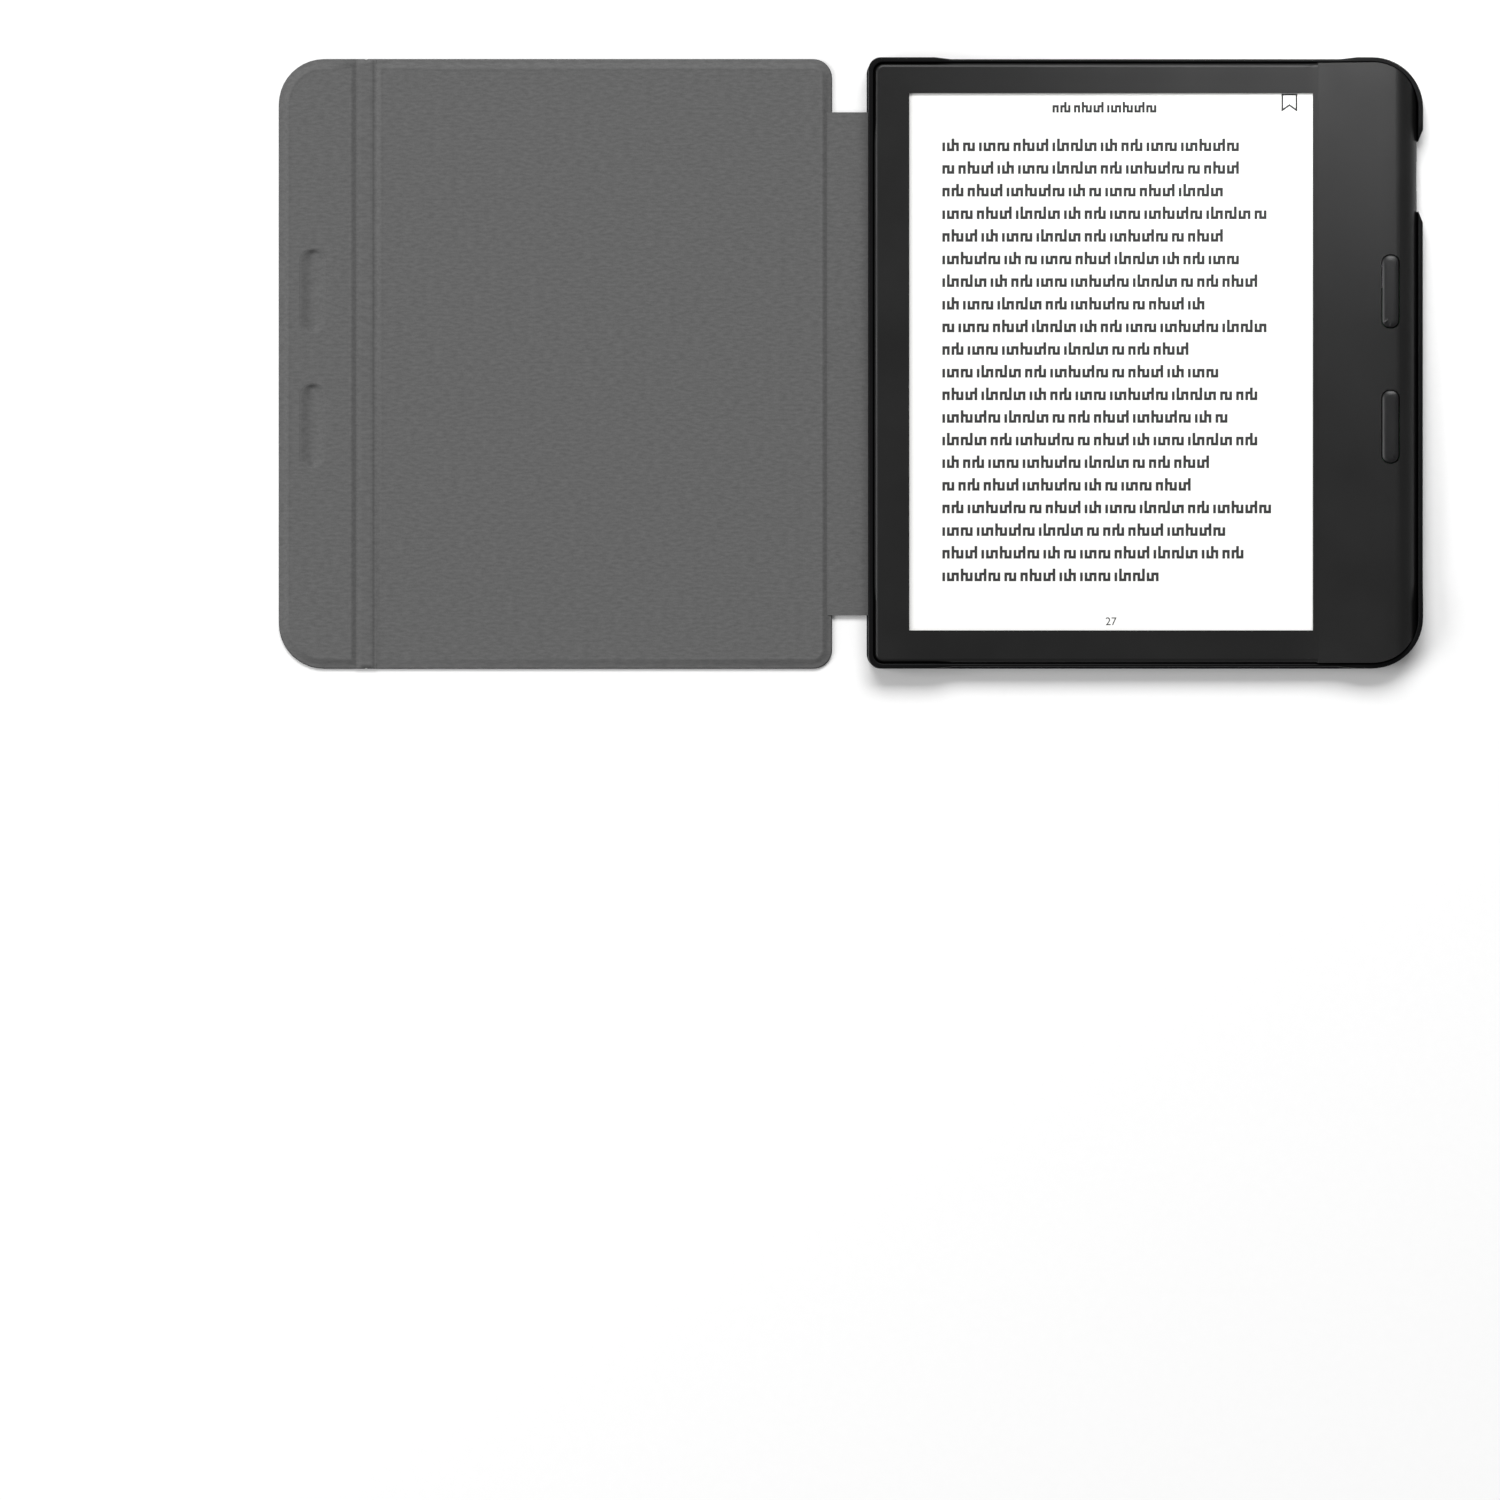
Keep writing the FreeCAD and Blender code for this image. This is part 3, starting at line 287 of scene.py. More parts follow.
def moulded_plastic(name, colour, rough, grain=0.25, strength=0.12, shine=0.35):
    """Moulded plastic: a fine grain of that size in millimetres, and roughness that drifts with handling."""
    material, tree, shader, place = start(name, IOR=1.49, Specular_IOR_Level=shine)
    grain = add(tree, "ShaderNodeTexNoise", {"Vector": place, "Scale": 1 / (grain * MM), "Detail": 2.0})
    drift = add(tree, "ShaderNodeTexNoise", {"Vector": place, "Scale": 45.0, "Detail": 3.0})
    handled = add(tree, "ShaderNodeMapRange",
                  {"Value": drift.outputs["Fac"], "From Min": 0.3, "From Max": 0.7,
                   "To Min": rough - 0.04, "To Max": rough + 0.04})
    surface(tree, shader, tones(tree, drift.outputs["Fac"], colour, 0.12), handled.outputs["Result"],
            grain.outputs["Fac"], strength, 0.03)
    return material


def soft_touch_abs():
    """Reader's casing: satin, with one slow broad highlight."""
    return made("soft_touch_abs_moulded", moulded_plastic, colours().casing[:], 0.4)


def key_abs():
    """Keys: the same plastic, moulded smoother and rubbed a little brighter."""
    return made("smooth_abs_key_moulded", moulded_plastic, colours().keys[:], 0.36, 0.2, 0.08)


def tray_polycarbonate():
    """Tray: glass-filled and near black, with a fine spark-eroded grain."""
    return made("polycarbonate_tray_moulded", moulded_plastic, colours().tray[:], 0.42, shine=0.12)


def plain_weave(tree, place, pitch):
    """The height of threads woven over and under one another at a pitch in metres."""
    # A wave texture's bands repeat every pi / 10 / scale.
    settings = {"Vector": place, "Scale": math.pi / 10 / pitch, "Distortion": 0.5, "Detail": 1.0,
                "Detail Scale": 0.4}
    warp = add(tree, "ShaderNodeTexWave", settings, bands_direction="X")
    weft = add(tree, "ShaderNodeTexWave", settings, bands_direction="Y")
    over = add(tree, "ShaderNodeTexChecker", {"Vector": place, "Scale": 1 / pitch})
    threads = {0: over.outputs["Fac"], 2: warp.outputs["Fac"], 3: weft.outputs["Fac"]}
    return add(tree, "ShaderNodeMix", threads, data_type="FLOAT").outputs[0]


def woven_canvas(name):
    """A plain weave of flecked yarn."""
    material, tree, shader, place = start(name, Roughness=0.88, Sheen_Weight=0.12, Sheen_Roughness=0.5,
                                          IOR=1.5, Specular_IOR_Level=0.25)
    # The yarns lie 0.35 mm apart; they are drawn twice as coarse so that they show at arm's length.
    weave = plain_weave(tree, place, 0.7 * MM)
    along = add(tree, "ShaderNodeMapping", {"Vector": place, "Scale": (1400.0, 250.0, 900.0)})
    fleck = add(tree, "ShaderNodeTexNoise", {"Vector": along.outputs["Vector"], "Scale": 1.0, "Detail": 2.0})
    bright = add(tree, "ShaderNodeMapRange",
                 {"Value": fleck.outputs["Fac"], "From Min": 0.36, "From Max": 0.68})
    yarn = add(tree, "ShaderNodeMath", {0: bright.outputs["Result"], 1: weave}, operation="MULTIPLY_ADD")
    yarn.inputs[2].default_value = 0.1
    colour = tones(tree, yarn.outputs["Value"], colours().canvas[:], 0.45)
    surface(tree, shader, colour, None, weave, 0.5, 0.12)
    return material


def canvas():
    """Case's outside: dyed polyester canvas from flecked yarn, dull and grained by its threads."""
    return made("polyester_canvas_woven", woven_canvas)


def brushed_microfibre(name):
    """A short nap, brushed level."""
    material, tree, shader, place = start(name, Roughness=0.95, Sheen_Weight=0.12, Sheen_Roughness=0.5,
                                          IOR=1.45, Specular_IOR_Level=0.2)
    # The nap's tufts are 0.1 mm; its grain is drawn at 0.35 mm so that it shows.
    nap = add(tree, "ShaderNodeTexNoise", {"Vector": place, "Scale": 1 / (0.35 * MM), "Detail": 3.0})
    # The nap lies in short level strokes, 2 mm long and 0.6 mm apart.
    level = add(tree, "ShaderNodeMapping", {"Vector": place, "Scale": (480.0, 1500.0, 1500.0)})
    stroke = add(tree, "ShaderNodeTexNoise", {"Vector": level.outputs["Vector"], "Scale": 1.0, "Detail": 3.0})
    blend = add(tree, "ShaderNodeMix", {0: 0.35, 2: stroke.outputs["Fac"], 3: nap.outputs["Fac"]},
                data_type="FLOAT")
    spread = add(tree, "ShaderNodeMapRange", {"Value": blend.outputs[0], "From Min": 0.35, "From Max": 0.65})
    surface(tree, shader, tones(tree, spread.outputs["Result"], colours().lining[:], 0.14), None,
            blend.outputs[0], 0.4, 0.12)
    return material


def microfibre():
    """Case's lining: brushed polyester microfibre, matt and faintly mottled by the way its nap lies."""
    return made("polyester_microfibre_brushed", brushed_microfibre)


def mottled(name, colour, grain, spread=0.1, strength=0.1, **values):
    """A finish broken up in colour and height by a grain of that size in millimetres."""
    material, tree, shader, place = start(name, **values)
    noise = add(tree, "ShaderNodeTexNoise", {"Vector": place, "Scale": 1 / (grain * MM), "Detail": 3.0})
    if isinstance(colour, str):
        colour = linear(colour)
    surface(tree, shader, tones(tree, noise.outputs["Fac"], colour, spread), None, noise.outputs["Fac"],
            strength, 0.04)
    return material


def etched_film():
    """Matt polyester film over e-ink: paper white, with only a broad soft shine."""
    return made("polyester_film_etched", mottled, colours().page[:], 0.3, 0.01, 0.0, Roughness=0.5, IOR=1.5,
                Specular_IOR_Level=0.3)


def e_ink():
    """Black e-ink pigment seen through the film: dark grey, flat and matt."""
    return made("e_ink_pigment", mottled, colours().ink[:], 0.4, 0.08, 0.0, Roughness=0.6, IOR=1.5)


# What the real pieces inside are made of and what that gives the eye. Each row has the finish's name, its
# colour, its grain in millimetres, its spread of tone, its bump's strength, the shader's values and the
# nodes that are made of it.
INNER_FINISHES = (
    # Rolled steel sheet, stamped: mid grey and half bright, with a fine rolled grain.
    ("cold_rolled_steel_stamped", "#9a9c9e", 0.6, 0.08, 0.1, {"Metallic": 1.0, "Roughness": 0.38},
     "chassis_plate radio_shield page_switches power_switch charging_socket"),
    # Zinc-plated steel, turned: small, bright and slightly blue.
    ("zinc_plated_steel_turned", "#aeb3b9", 0.4, 0.06, 0.1, {"Metallic": 1.0, "Roughness": 0.3},
     "casing_screws board_screws"),
    # Nickel plate on a sintered magnet: warm and smooth.
    ("nickel_plated_magnet", "#bcb9b1", 1.0, 0.05, 0.03, {"Metallic": 1.0, "Roughness": 0.22},
     "catch_magnets flap_magnets sleep_magnet"),
    # Aluminium laminate, heat-sealed round the battery: silvery and slightly wrinkled.
    ("aluminium_laminate_sealed", "#9c9ea0", 3.0, 0.06, 0.25, {"Metallic": 1.0, "Roughness": 0.35},
     "battery"),
    # Glass-epoxy board under solder mask: deep green and half glossy.
    ("glass_epoxy_solder_masked", "#13482a", 1.2, 0.15, 0.1, {"Roughness": 0.4, "IOR": 1.5},
     "main_board port_board button_board"),
    # Moulded epoxy: dull black with a fine grain.
    ("epoxy_moulded", "#1b1b1d", 0.3, 0.15, 0.1, {"Roughness": 0.65, "IOR": 1.5},
     "processor memory_chip storage_chip power_controller hall_sensor socket_tongue"),
    # Polyimide laminate over copper: amber and slightly glossy.
    ("polyimide_laminated", "#965215", 2.0, 0.1, 0.03, {"Roughness": 0.35, "IOR": 1.7},
     "light_bar battery_lead display_ribbon touch_ribbon light_ribbon port_ribbon antenna"),
    # Silicone rubber, moulded, and the tape's foam: black with no shine.
    ("silicone_rubber_moulded", "#181818", 0.5, 0.15, 0.1, {"Roughness": 0.85, "IOR": 1.41},
     "window_gasket casing_seal battery_tape"),
    # Clear acrylic, moulded: pale, because the page behind it shows through.
    ("acrylic_light_guide_moulded", "#dfe2e2", 0.8, 0.03, 0.02, {"Roughness": 0.15, "IOR": 1.49},
     "light_guide status_light epaper_panel"),
    # Greyboard, pressed: warm grey, fibrous and matt.
    ("greyboard_pressed", "#8a8073", 0.8, 0.12, 0.3, {"Roughness": 0.95, "IOR": 1.5},
     "cover_board spine_stiffener"),
)


def inner_finish(wanted):
    """The finish of that name from the table."""
    for name, colour, grain, spread, strength, values, _ in INNER_FINISHES:
        if name == wanted:
            return made(name, mottled, colour, grain, spread, strength, **values)
    raise ValueError(f"no finish is called {wanted}")


# Settings

def colour_property(name, description, code):
    """A colour setting whose default is an sRGB hex colour."""
    return bpy.props.FloatVectorProperty(name=name, description=description, default=linear(code), size=4,
                                         subtype="COLOR", min=0, max=1)


def length_property(name, description, default, least=0):
    """A length setting."""
    return bpy.props.FloatProperty(name=name, description=description, default=default, min=least,
                                   unit="LENGTH")


class FolioColours(bpy.types.PropertyGroup):
    """Colours of the finishes that show."""
    casing: colour_property("Casing", "Soft-touch plastic of the reader", "#0d0d0d")
    keys: colour_property("Keys", "Plastic of the page keys and the power key", "#0f0f10")
    tray: colour_property("Tray", "Plastic of the tray that holds the reader", "#060607")
    canvas: colour_property("Canvas", "Cloth on the outside of the case", "#1b1d22")
    lining: colour_property("Lining", "Brushed cloth on the inside of the case", "#5c5c5c")
    page: colour_property("Page", "The blank page", "#f7f7f5")
    ink: colour_property("Ink", "The marks on the page", "#242424")


class FolioSizes(bpy.types.PropertyGroup):
    """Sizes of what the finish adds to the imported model."""
    casing_ease: length_property("Casing edges", "Radius of the casing's sharp edges", 0.15 * MM)
    tray_ease: length_property("Tray edges", "Radius of the tray's sharp edges", 0.3 * MM)
    key_ease: length_property("Key edges", "Radius of the keys' rims", 0.25 * MM)
    canvas_roll: length_property("Canvas edges", "Radius of the canvas's folded edge", 0.14 * MM)
    line_pitch: length_property("Line pitch", "Distance between the page's lines", 6.0 * MM, 1 * MM)
    mark_height: length_property("Mark height", "Height of the small marks in a line", 2.3 * MM, 0.5 * MM)
    lines: bpy.props.IntProperty(name="Lines", description="How many lines the page has", default=20, min=1,
                                 max=22)


def colours():
    """The scene's colour settings."""
    return bpy.context.scene.folio_colours


def sizes():
    """The scene's size settings."""
    return bpy.context.scene.folio_sizes


# Reader and tray

def soften_grip(piece):
    """Blend the grip's slope into the flat front, and round its ridge over before it turns down."""
    for x in (*GRIP_BLEND_CUTS, *GRIP_RIDGE_CUTS):
        bpy.ops.mesh.select_all(action="SELECT")
        bpy.ops.mesh.bisect(plane_co=(x * MM, 0, 0), plane_no=(1, 0, 0))
    tilt = math.tan(math.radians(GRIP_ANGLE))
    first, last = GRIP_BLEND_CUTS[0] * MM, GRIP_BLEND_CUTS[-1] * MM
    crest, edge = GRIP_RIDGE_CUTS[0] * MM, GRIP_RIDGE_CUTS[-1] * MM
    mesh = bmesh.from_edit_mesh(piece.data)
    for vertex in mesh.verts:
        x, z = vertex.co.x, vertex.co.z
        hold = min(1, max(0, (z - GRIP_FOOT) / (GRIP_HEAD - GRIP_FOOT)))
        if first < x < last:
            rise = tilt * (x - first) ** 2 / (2 * (last - first)) - max(0, tilt * (x - (first + last) / 2))
            vertex.co.z += rise * hold
        elif x > crest:
            near = min(x, edge)
            fall = tilt * (near - crest) ** 2 / (2 * (edge - crest)) + tilt * (x - near)
            vertex.co.z -= fall * hold
    bmesh.update_edit_mesh(piece.data)


def crown_key(piece):
    """Round the key's top over: its rim is let down and the middle rises again in steps."""
    pick(piece, lambda face: face.normal.z > 0.9 and face.calc_area() > KEY_TOP_AREA, "FACE")
    low, high = KEY_BOXES["upper"]
    half = Vector((high.x - low.x, high.y - low.y)) / 2
    bpy.ops.transform.translate(value=(0, 0, -KEY_DROP * MM))
    for inset, rise in KEY_CROWN:
        extrude(rise * MM)
        half = narrow(half, (inset * MM, inset * MM))


class FOLIO_OT_casing(bpy.types.Operator):
    """Make the reader's front frame and rear casing"""
    bl_idname = "folio.casing"
    bl_label = "Casing"

    def execute(self, context):
        ease = sizes().casing_ease
        refined_copy("front_frame", "casing_front", ease, soft_touch_abs(), "reader",
                     soften_grip)
        refined_copy("rear_casing", "casing_rear", ease, soft_touch_abs(), "reader")
        return {"FINISHED"}


class FOLIO_OT_keys(bpy.types.Operator):
    """Make the two page keys and the power key"""
    bl_idname = "folio.keys"
    bl_label = "Keys"

    def execute(self, context):
        for node, shape in (("page_button_upper", crown_key), ("page_button_lower", crown_key),
                            ("power_button", None)):
            refined_copy(node, f"{node}_cap", sizes().key_ease, key_abs(), node, shape)
        return {"FINISHED"}


class FOLIO_OT_tray(bpy.types.Operator):
    """Make the tray that holds the reader, and the canvas on its back"""
    bl_idname = "folio.tray"
    bl_label = "Tray"

    def execute(self, context):
        refined_copy("tray_shell", "tray", sizes().tray_ease, tray_polycarbonate(), "reader")
        refined_copy("back_skin", "canvas_back", sizes().canvas_roll, canvas(), "reader")
        return {"FINISHED"}


# Page

# A word's strokes as shares of its height: their width, their pitch and how high a tall one stands.
STROKE_SHARE, PITCH_SHARE, TALL_SHARE = 0.31, 0.53, 1.45
# Each word's number of strokes, with the places of its tall ones.
WORDS = ((4, (2,)), (7, ()), (10, (1, 6)), (5, (3,)), (13, (4, 9)), (3, ()), (8, (2, 7)))
WORD_GAP = 1.1 * MM
# From the film's left edge to the text, and the text's width.
TEXT_MARGIN, TEXT_WIDTH = 11.2 * MM, 88 * MM
# The last line's length, a middling line's, and how much lines differ, as shares of the text's width.
LAST_REACH, LINE_REACH, REACH_SPREAD = 0.68, 0.93, 0.07
# The heading: from the film's upper edge to its foot, how far it reaches left and right of the middle, and
# its height as a share of a line's.
HEADING_MARGIN, HEADING_LEFT, HEADING_RIGHT, HEADING_SHARE = 7.5 * MM, 15.5 * MM, 16 * MM, 0.85
# The corner mark: its head and its right side from the film's edges, its size, its line and its notch.
CORNER_MARGIN, CORNER_INSET = 2.5 * MM, 6.5 * MM
CORNER_WIDTH, CORNER_HEIGHT, CORNER_LINE, CORNER_NOTCH = 4.2 * MM, 4.8 * MM, 0.45 * MM, 1.5 * MM
# The page number: its foot from the film's lower edge, and its height.
NUMBER_MARGIN, NUMBER_HEIGHT = 3.8 * MM, 3 * MM
# The ink's top over the film, and its thickness; the film's corner radius and the ease of its edge.
INK_LIFT, INK_THICKNESS = 0.012 * MM, 0.01 * MM
FILM_CORNER, FILM_EASE = 1 * MM, 0.04 * MM


def film():
    """The film over the display, with its own edge."""
    piece = outline_face("display_film", FILM_LOW, FILM_HIGH, FILM_HIGH.z, (FILM_CORNER,) * 4, 6)
    extrude(FILM_LOW.z - FILM_HIGH.z)
    face_outwards(piece)
    modifier(piece, "BEVEL", width=FILM_EASE, segments=2, limit_method="ANGLE")
    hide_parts("touch_film")
    return finish(piece, etched_film(), "reader")


def bar(left, right, foot, head):
    """Add an upright or level stroke to the mark that is being edited."""
    bpy.ops.mesh.primitive_plane_add(size=1, location=((left + right) / 2, (foot + head) / 2, 0))
    bpy.ops.transform.resize(value=(right - left, head - foot, 1))


def word(name, strokes, height, tall=()):
    """A run of strokes tied by turns at the head and the foot, which stands for a word; some are tall."""
    stroke, pitch = STROKE_SHARE * height, PITCH_SHARE * height
    clear_selection()
    bpy.ops.mesh.primitive_plane_add(size=1, location=(stroke / 2, height / 2, 0))
    piece = bpy.context.object
    piece.name = piece.data.name = name
    piece.scale = (stroke, height, 1)
    bpy.ops.object.transform_apply(location=True, rotation=True, scale=True)
    edit(piece)
    for number in range(1, strokes):
        left = number * pitch
        bar(left, left + stroke, 0, height * (TALL_SHARE if number in tall else 1))
        if number % 3 != strokes % 3:
            foot = height - stroke if number % 2 else 0
            bar(left - pitch + stroke, left, foot, foot + stroke)
    clear_selection()
    return piece


def copy_to(source, place, scale=1):
    """A copy of a piece with its own mesh, at a place."""
    piece = bpy.data.objects.new(source.name, source.data.copy())
    bpy.context.scene.collection.objects.link(piece)
    piece.location = place
    piece.scale = (scale, scale, 1)
    return piece


def set_line(words, left, right, foot, height, turn, scale=1):
    """Copies of the words in a row from left, as far as the last that fits before right."""
    row, x, number = [], left, turn
    while True:
        source = words[number * 5 % len(words)]
        width = source.dimensions.x * scale
        if x + width > right:
            return row
        row.append(copy_to(source, (x, foot, height), scale))
        x += width + WORD_GAP * scale
        number += 1 + (number + turn) % 3


def page_number(place, height):
    """A plain page number, centred on the place."""
    clear_selection()
    bpy.ops.object.text_add(location=(0, 0, 0))
    piece = bpy.context.object
    piece.data.body = "27"
    piece.data.align_x = "CENTER"
    piece.data.size = height
    bpy.ops.object.convert(target="MESH")
    piece.location = place
    take(piece)
    bpy.ops.object.transform_apply(location=True, rotation=True, scale=True)
    return piece


def page_corner_mark(right, head, height):
    """The outline of a page marker, notched at its foot."""
    foot, centre, near = head - CORNER_HEIGHT, right - CORNER_WIDTH / 2, 1e-6
    piece = outline_face("corner_mark", (right - CORNER_WIDTH, foot), (right, head), height)
    pick(piece, lambda edge: abs(middle(edge).y - foot) < near, "EDGE")
    bpy.ops.mesh.subdivide(number_cuts=1)
    pick(piece, lambda vertex: vertex.co.y < foot + near and abs(vertex.co.x - centre) < near)
    bpy.ops.transform.translate(value=(0, CORNER_NOTCH, 0))
    pick(piece, lambda face: True, "FACE")
    bpy.ops.mesh.inset(thickness=CORNER_LINE, depth=0)
    bpy.ops.mesh.delete(type="FACE")
    return piece


class FOLIO_OT_page(bpy.types.Operator):
    """Make the display's film and a page of letterless marks under it"""
    bl_idname = "folio.page"
    bl_label = "Page"

    def execute(self, context):
        film()
        height, pitch = sizes().mark_height, sizes().line_pitch
        level = FILM_HIGH.z + INK_LIFT
        words = [word(f"word_{strokes}", strokes, height, tall) for strokes, tall in WORDS]
        left = FILM_LOW.x + TEXT_MARGIN
        middle_y = (FILM_LOW.y + FILM_HIGH.y) / 2
        lines = sizes().lines
        marks = []
        for line in range(lines):
            reach = LINE_REACH + REACH_SPREAD * math.sin(2.4 * line + 0.6)
            if line == lines - 1:
                reach = LAST_REACH
            foot = middle_y + (lines / 2 - line - 0.5) * pitch - height / 2
            marks += set_line(words, left, left + TEXT_WIDTH * reach, foot, level, line)
        centre = (FILM_LOW.x + FILM_HIGH.x) / 2
        marks += set_line(words, centre - HEADING_LEFT, centre + HEADING_RIGHT,
                          FILM_HIGH.y - HEADING_MARGIN, level, 2, HEADING_SHARE)
        marks.append(page_corner_mark(FILM_HIGH.x - CORNER_INSET, FILM_HIGH.y - CORNER_MARGIN, level))
        marks.append(page_number((centre, FILM_LOW.y + NUMBER_MARGIN, level), NUMBER_HEIGHT))
        take(marks[-1])
        for mark in marks:
            mark.select_set(True)
        bpy.ops.object.join()
        piece = context.object
        piece.name = piece.data.name = "page_marks"
        for source in words:
            bpy.data.objects.remove(source)
        modifier(piece, "SOLIDIFY", thickness=INK_THICKNESS, offset=-1)
        finish(piece, e_ink(), "reader")
        return {"FINISHED"}


# Cloth

# Steps from a lining panel's edge inwards, as widths and rises in millimetres: its pressed rim, its board.
LINING_RIM = ((0.1, 0.08), (0.15, 0.06), (0.5, 0.06), (0.5, 0.24), (0.5, 0.34), (0.4, 0.3), (0.3, 0.1),
              (0.3, 0.02), (0.3, -0.12), (0.3, 0.08))
# The lining's foot, its thickness at the edge, and how far that edge stays inside the canvas's.
LINING_FOOT, LINING_THICKNESS, LINING_EDGE = 0.55 * MM, 0.3 * MM, 0.15 * MM
# The canvas's rim, and steps from its edge inwards, as widths and falls: its flat rim, the groove, its board.
CANVAS_FOOT = 0.3 * MM
CANVAS_RIM = ((1.8, 0.0), (0.12, -0.18), (0.12, 0.0), (0.14, 0.26), (0.2, 0.16), (0.12, 0.06))
# How far a panel's rim reaches past its board, and the height at which a fold's strip laps over it.
RIM_REACH = 2.1 * MM
LAP_TOP = LINING_FOOT + LINING_THICKNESS + sum(rise for _, rise in LINING_RIM[:4]) * MM
# How thick a strip of lining is, about how wide a strip is between two cuts, how far a strip laps over a
# panel, and how far the last one stays clear of the tray.
STRIP_THICKNESS, STRIP_CUT, STRIP_LAP, STRIP_GAP = 0.35 * MM, 0.25 * MM, 1.2 * MM, 0.05 * MM
# How a strip's top swells: how far in from its sides each step starts, in millimetres, with its share of the
# swell; how far from each end that stops; and how thick the strip is past there.
SWELL_STEPS = ((0.5, 0.35), (0.9, 0.45), (1.3, 0.2))
SWELL_END, SWELL_REST = 1.2 * MM, 0.1 * MM
# The cutter for the dish that a key fits: half its size, its corners' radius, how far over the lining it
# starts and how far it goes straight down; then its steps, as insets across and along and falls in
# millimetres.
SLOT_HALF = Vector((3.6, 11.3)) * MM
SLOT_CORNER, SLOT_START, SLOT_STRAIGHT = 3.4 * MM, 0.4 * MM, 0.44 * MM
SLOT_STEPS = ((0.4, 0.2, 0.04), (0.55, 0.2, 0.2), (0.65, 0.22, 0.34), (0.65, 0.25, 0.3), (0.6, 0.35, 0.15),
              (0.5, 0.6, 0.05))
# How far the fold's thickness carries a slot past its key's mirror image, and how much deeper the board's
# cutter goes.
SLOT_SHIFT, SLOT_SINK = 0.4 * MM, 0.1 * MM
# The angle in degrees up to which cloth is smooth, and the ease of the flap board's edges.
CLOTH_ANGLE = 60
BOARD_EASE = 0.05 * MM


def lining_panel(name, low, high, radii):
    """A lining pressed down round a board's edge, on a flat foot; low and high are its outer corners."""
    piece = outline_face(name, low, high, LINING_FOOT, radii)
    extrude(LINING_THICKNESS)
    steps(LINING_RIM)
    face_outwards(piece)
    return piece


def canvas_panel(name, low, high, radii):
    """Canvas pulled over a board, which stands out inside a groove; the edge is folded over and rolled."""
    piece = outline_face(name, low, high, LINING_FOOT, radii)
    extrude(CANVAS_FOOT - LINING_FOOT)
    steps(CANVAS_RIM, -1)
    face_outwards(piece)
    modifier(piece, "BEVEL", width=sizes().canvas_roll, segments=3, limit_method="ANGLE",
             angle_limit=math.radians(75))
    return piece


def swell_strip(piece, low, high, foot, head, swell):
    """Raise the strip's top between its sides, and let it down again at both ends."""
    level = (foot + head) / 2
    for width, share in SWELL_STEPS:
        inner = (low[0] + width * MM, high[0] - width * MM)
        pick(piece, lambda vertex: vertex.co.z > level and inner[0] < vertex.co.x < inner[1])
        bpy.ops.transform.translate(value=(0, 0, share * swell))
    ends = (low[1] + SWELL_END, high[1] - SWELL_END)
    for y in ends:
        bpy.ops.mesh.select_all(action="SELECT")
        bpy.ops.mesh.bisect(plane_co=(0, y, 0), plane_no=(0, 1, 0))
    near = 0.1 * MM
    mesh = bmesh.from_edit_mesh(piece.data)
    for vertex in mesh.verts:
        if vertex.co.z > level and not ends[0] - near < vertex.co.y < ends[1] + near:
            vertex.co.z = foot + SWELL_REST
    bmesh.update_edit_mesh(piece.data)


def strip(name, low, high, foot, head, swell=0):
    """A closed strip of cloth across a fold, cut crosswise so that it can bend; its top may swell."""
    cuts = max(12, round((high[0] - low[0]) / STRIP_CUT))
    piece = outline_face(name, low, high, foot)
    extrude(head - foot)
    face_outwards(piece)
    for number in range(1, cuts):
        bpy.ops.mesh.select_all(action="SELECT")
        x = low[0] + (high[0] - low[0]) * number / cuts
        bpy.ops.mesh.bisect(plane_co=(x, 0, 0), plane_no=(1, 0, 0))
    if swell:
        swell_strip(piece, low, high, foot, head, swell)
    return piece


def slot_cutter(row, x, sink=0):
    """The cutter for the dish that a page key fits when the case is closed; its rim is soft."""
    low, high = KEY_BOXES[row]
    y = (low.y + high.y) / 2
    half = SLOT_HALF
    piece = outline_face(f"slot_{row}", (x - half.x, y - half.y), (x + half.x, y + half.y),
                         LINING_HIGH.z + SLOT_START, (SLOT_CORNER,) * 4)
    extrude(-SLOT_STRAIGHT - sink)
    for across, along, fall in SLOT_STEPS:
        extrude(-fall * MM)
        half = narrow(half, (across * MM, along * MM))
    face_outwards(piece)
    clear_selection()
    return piece


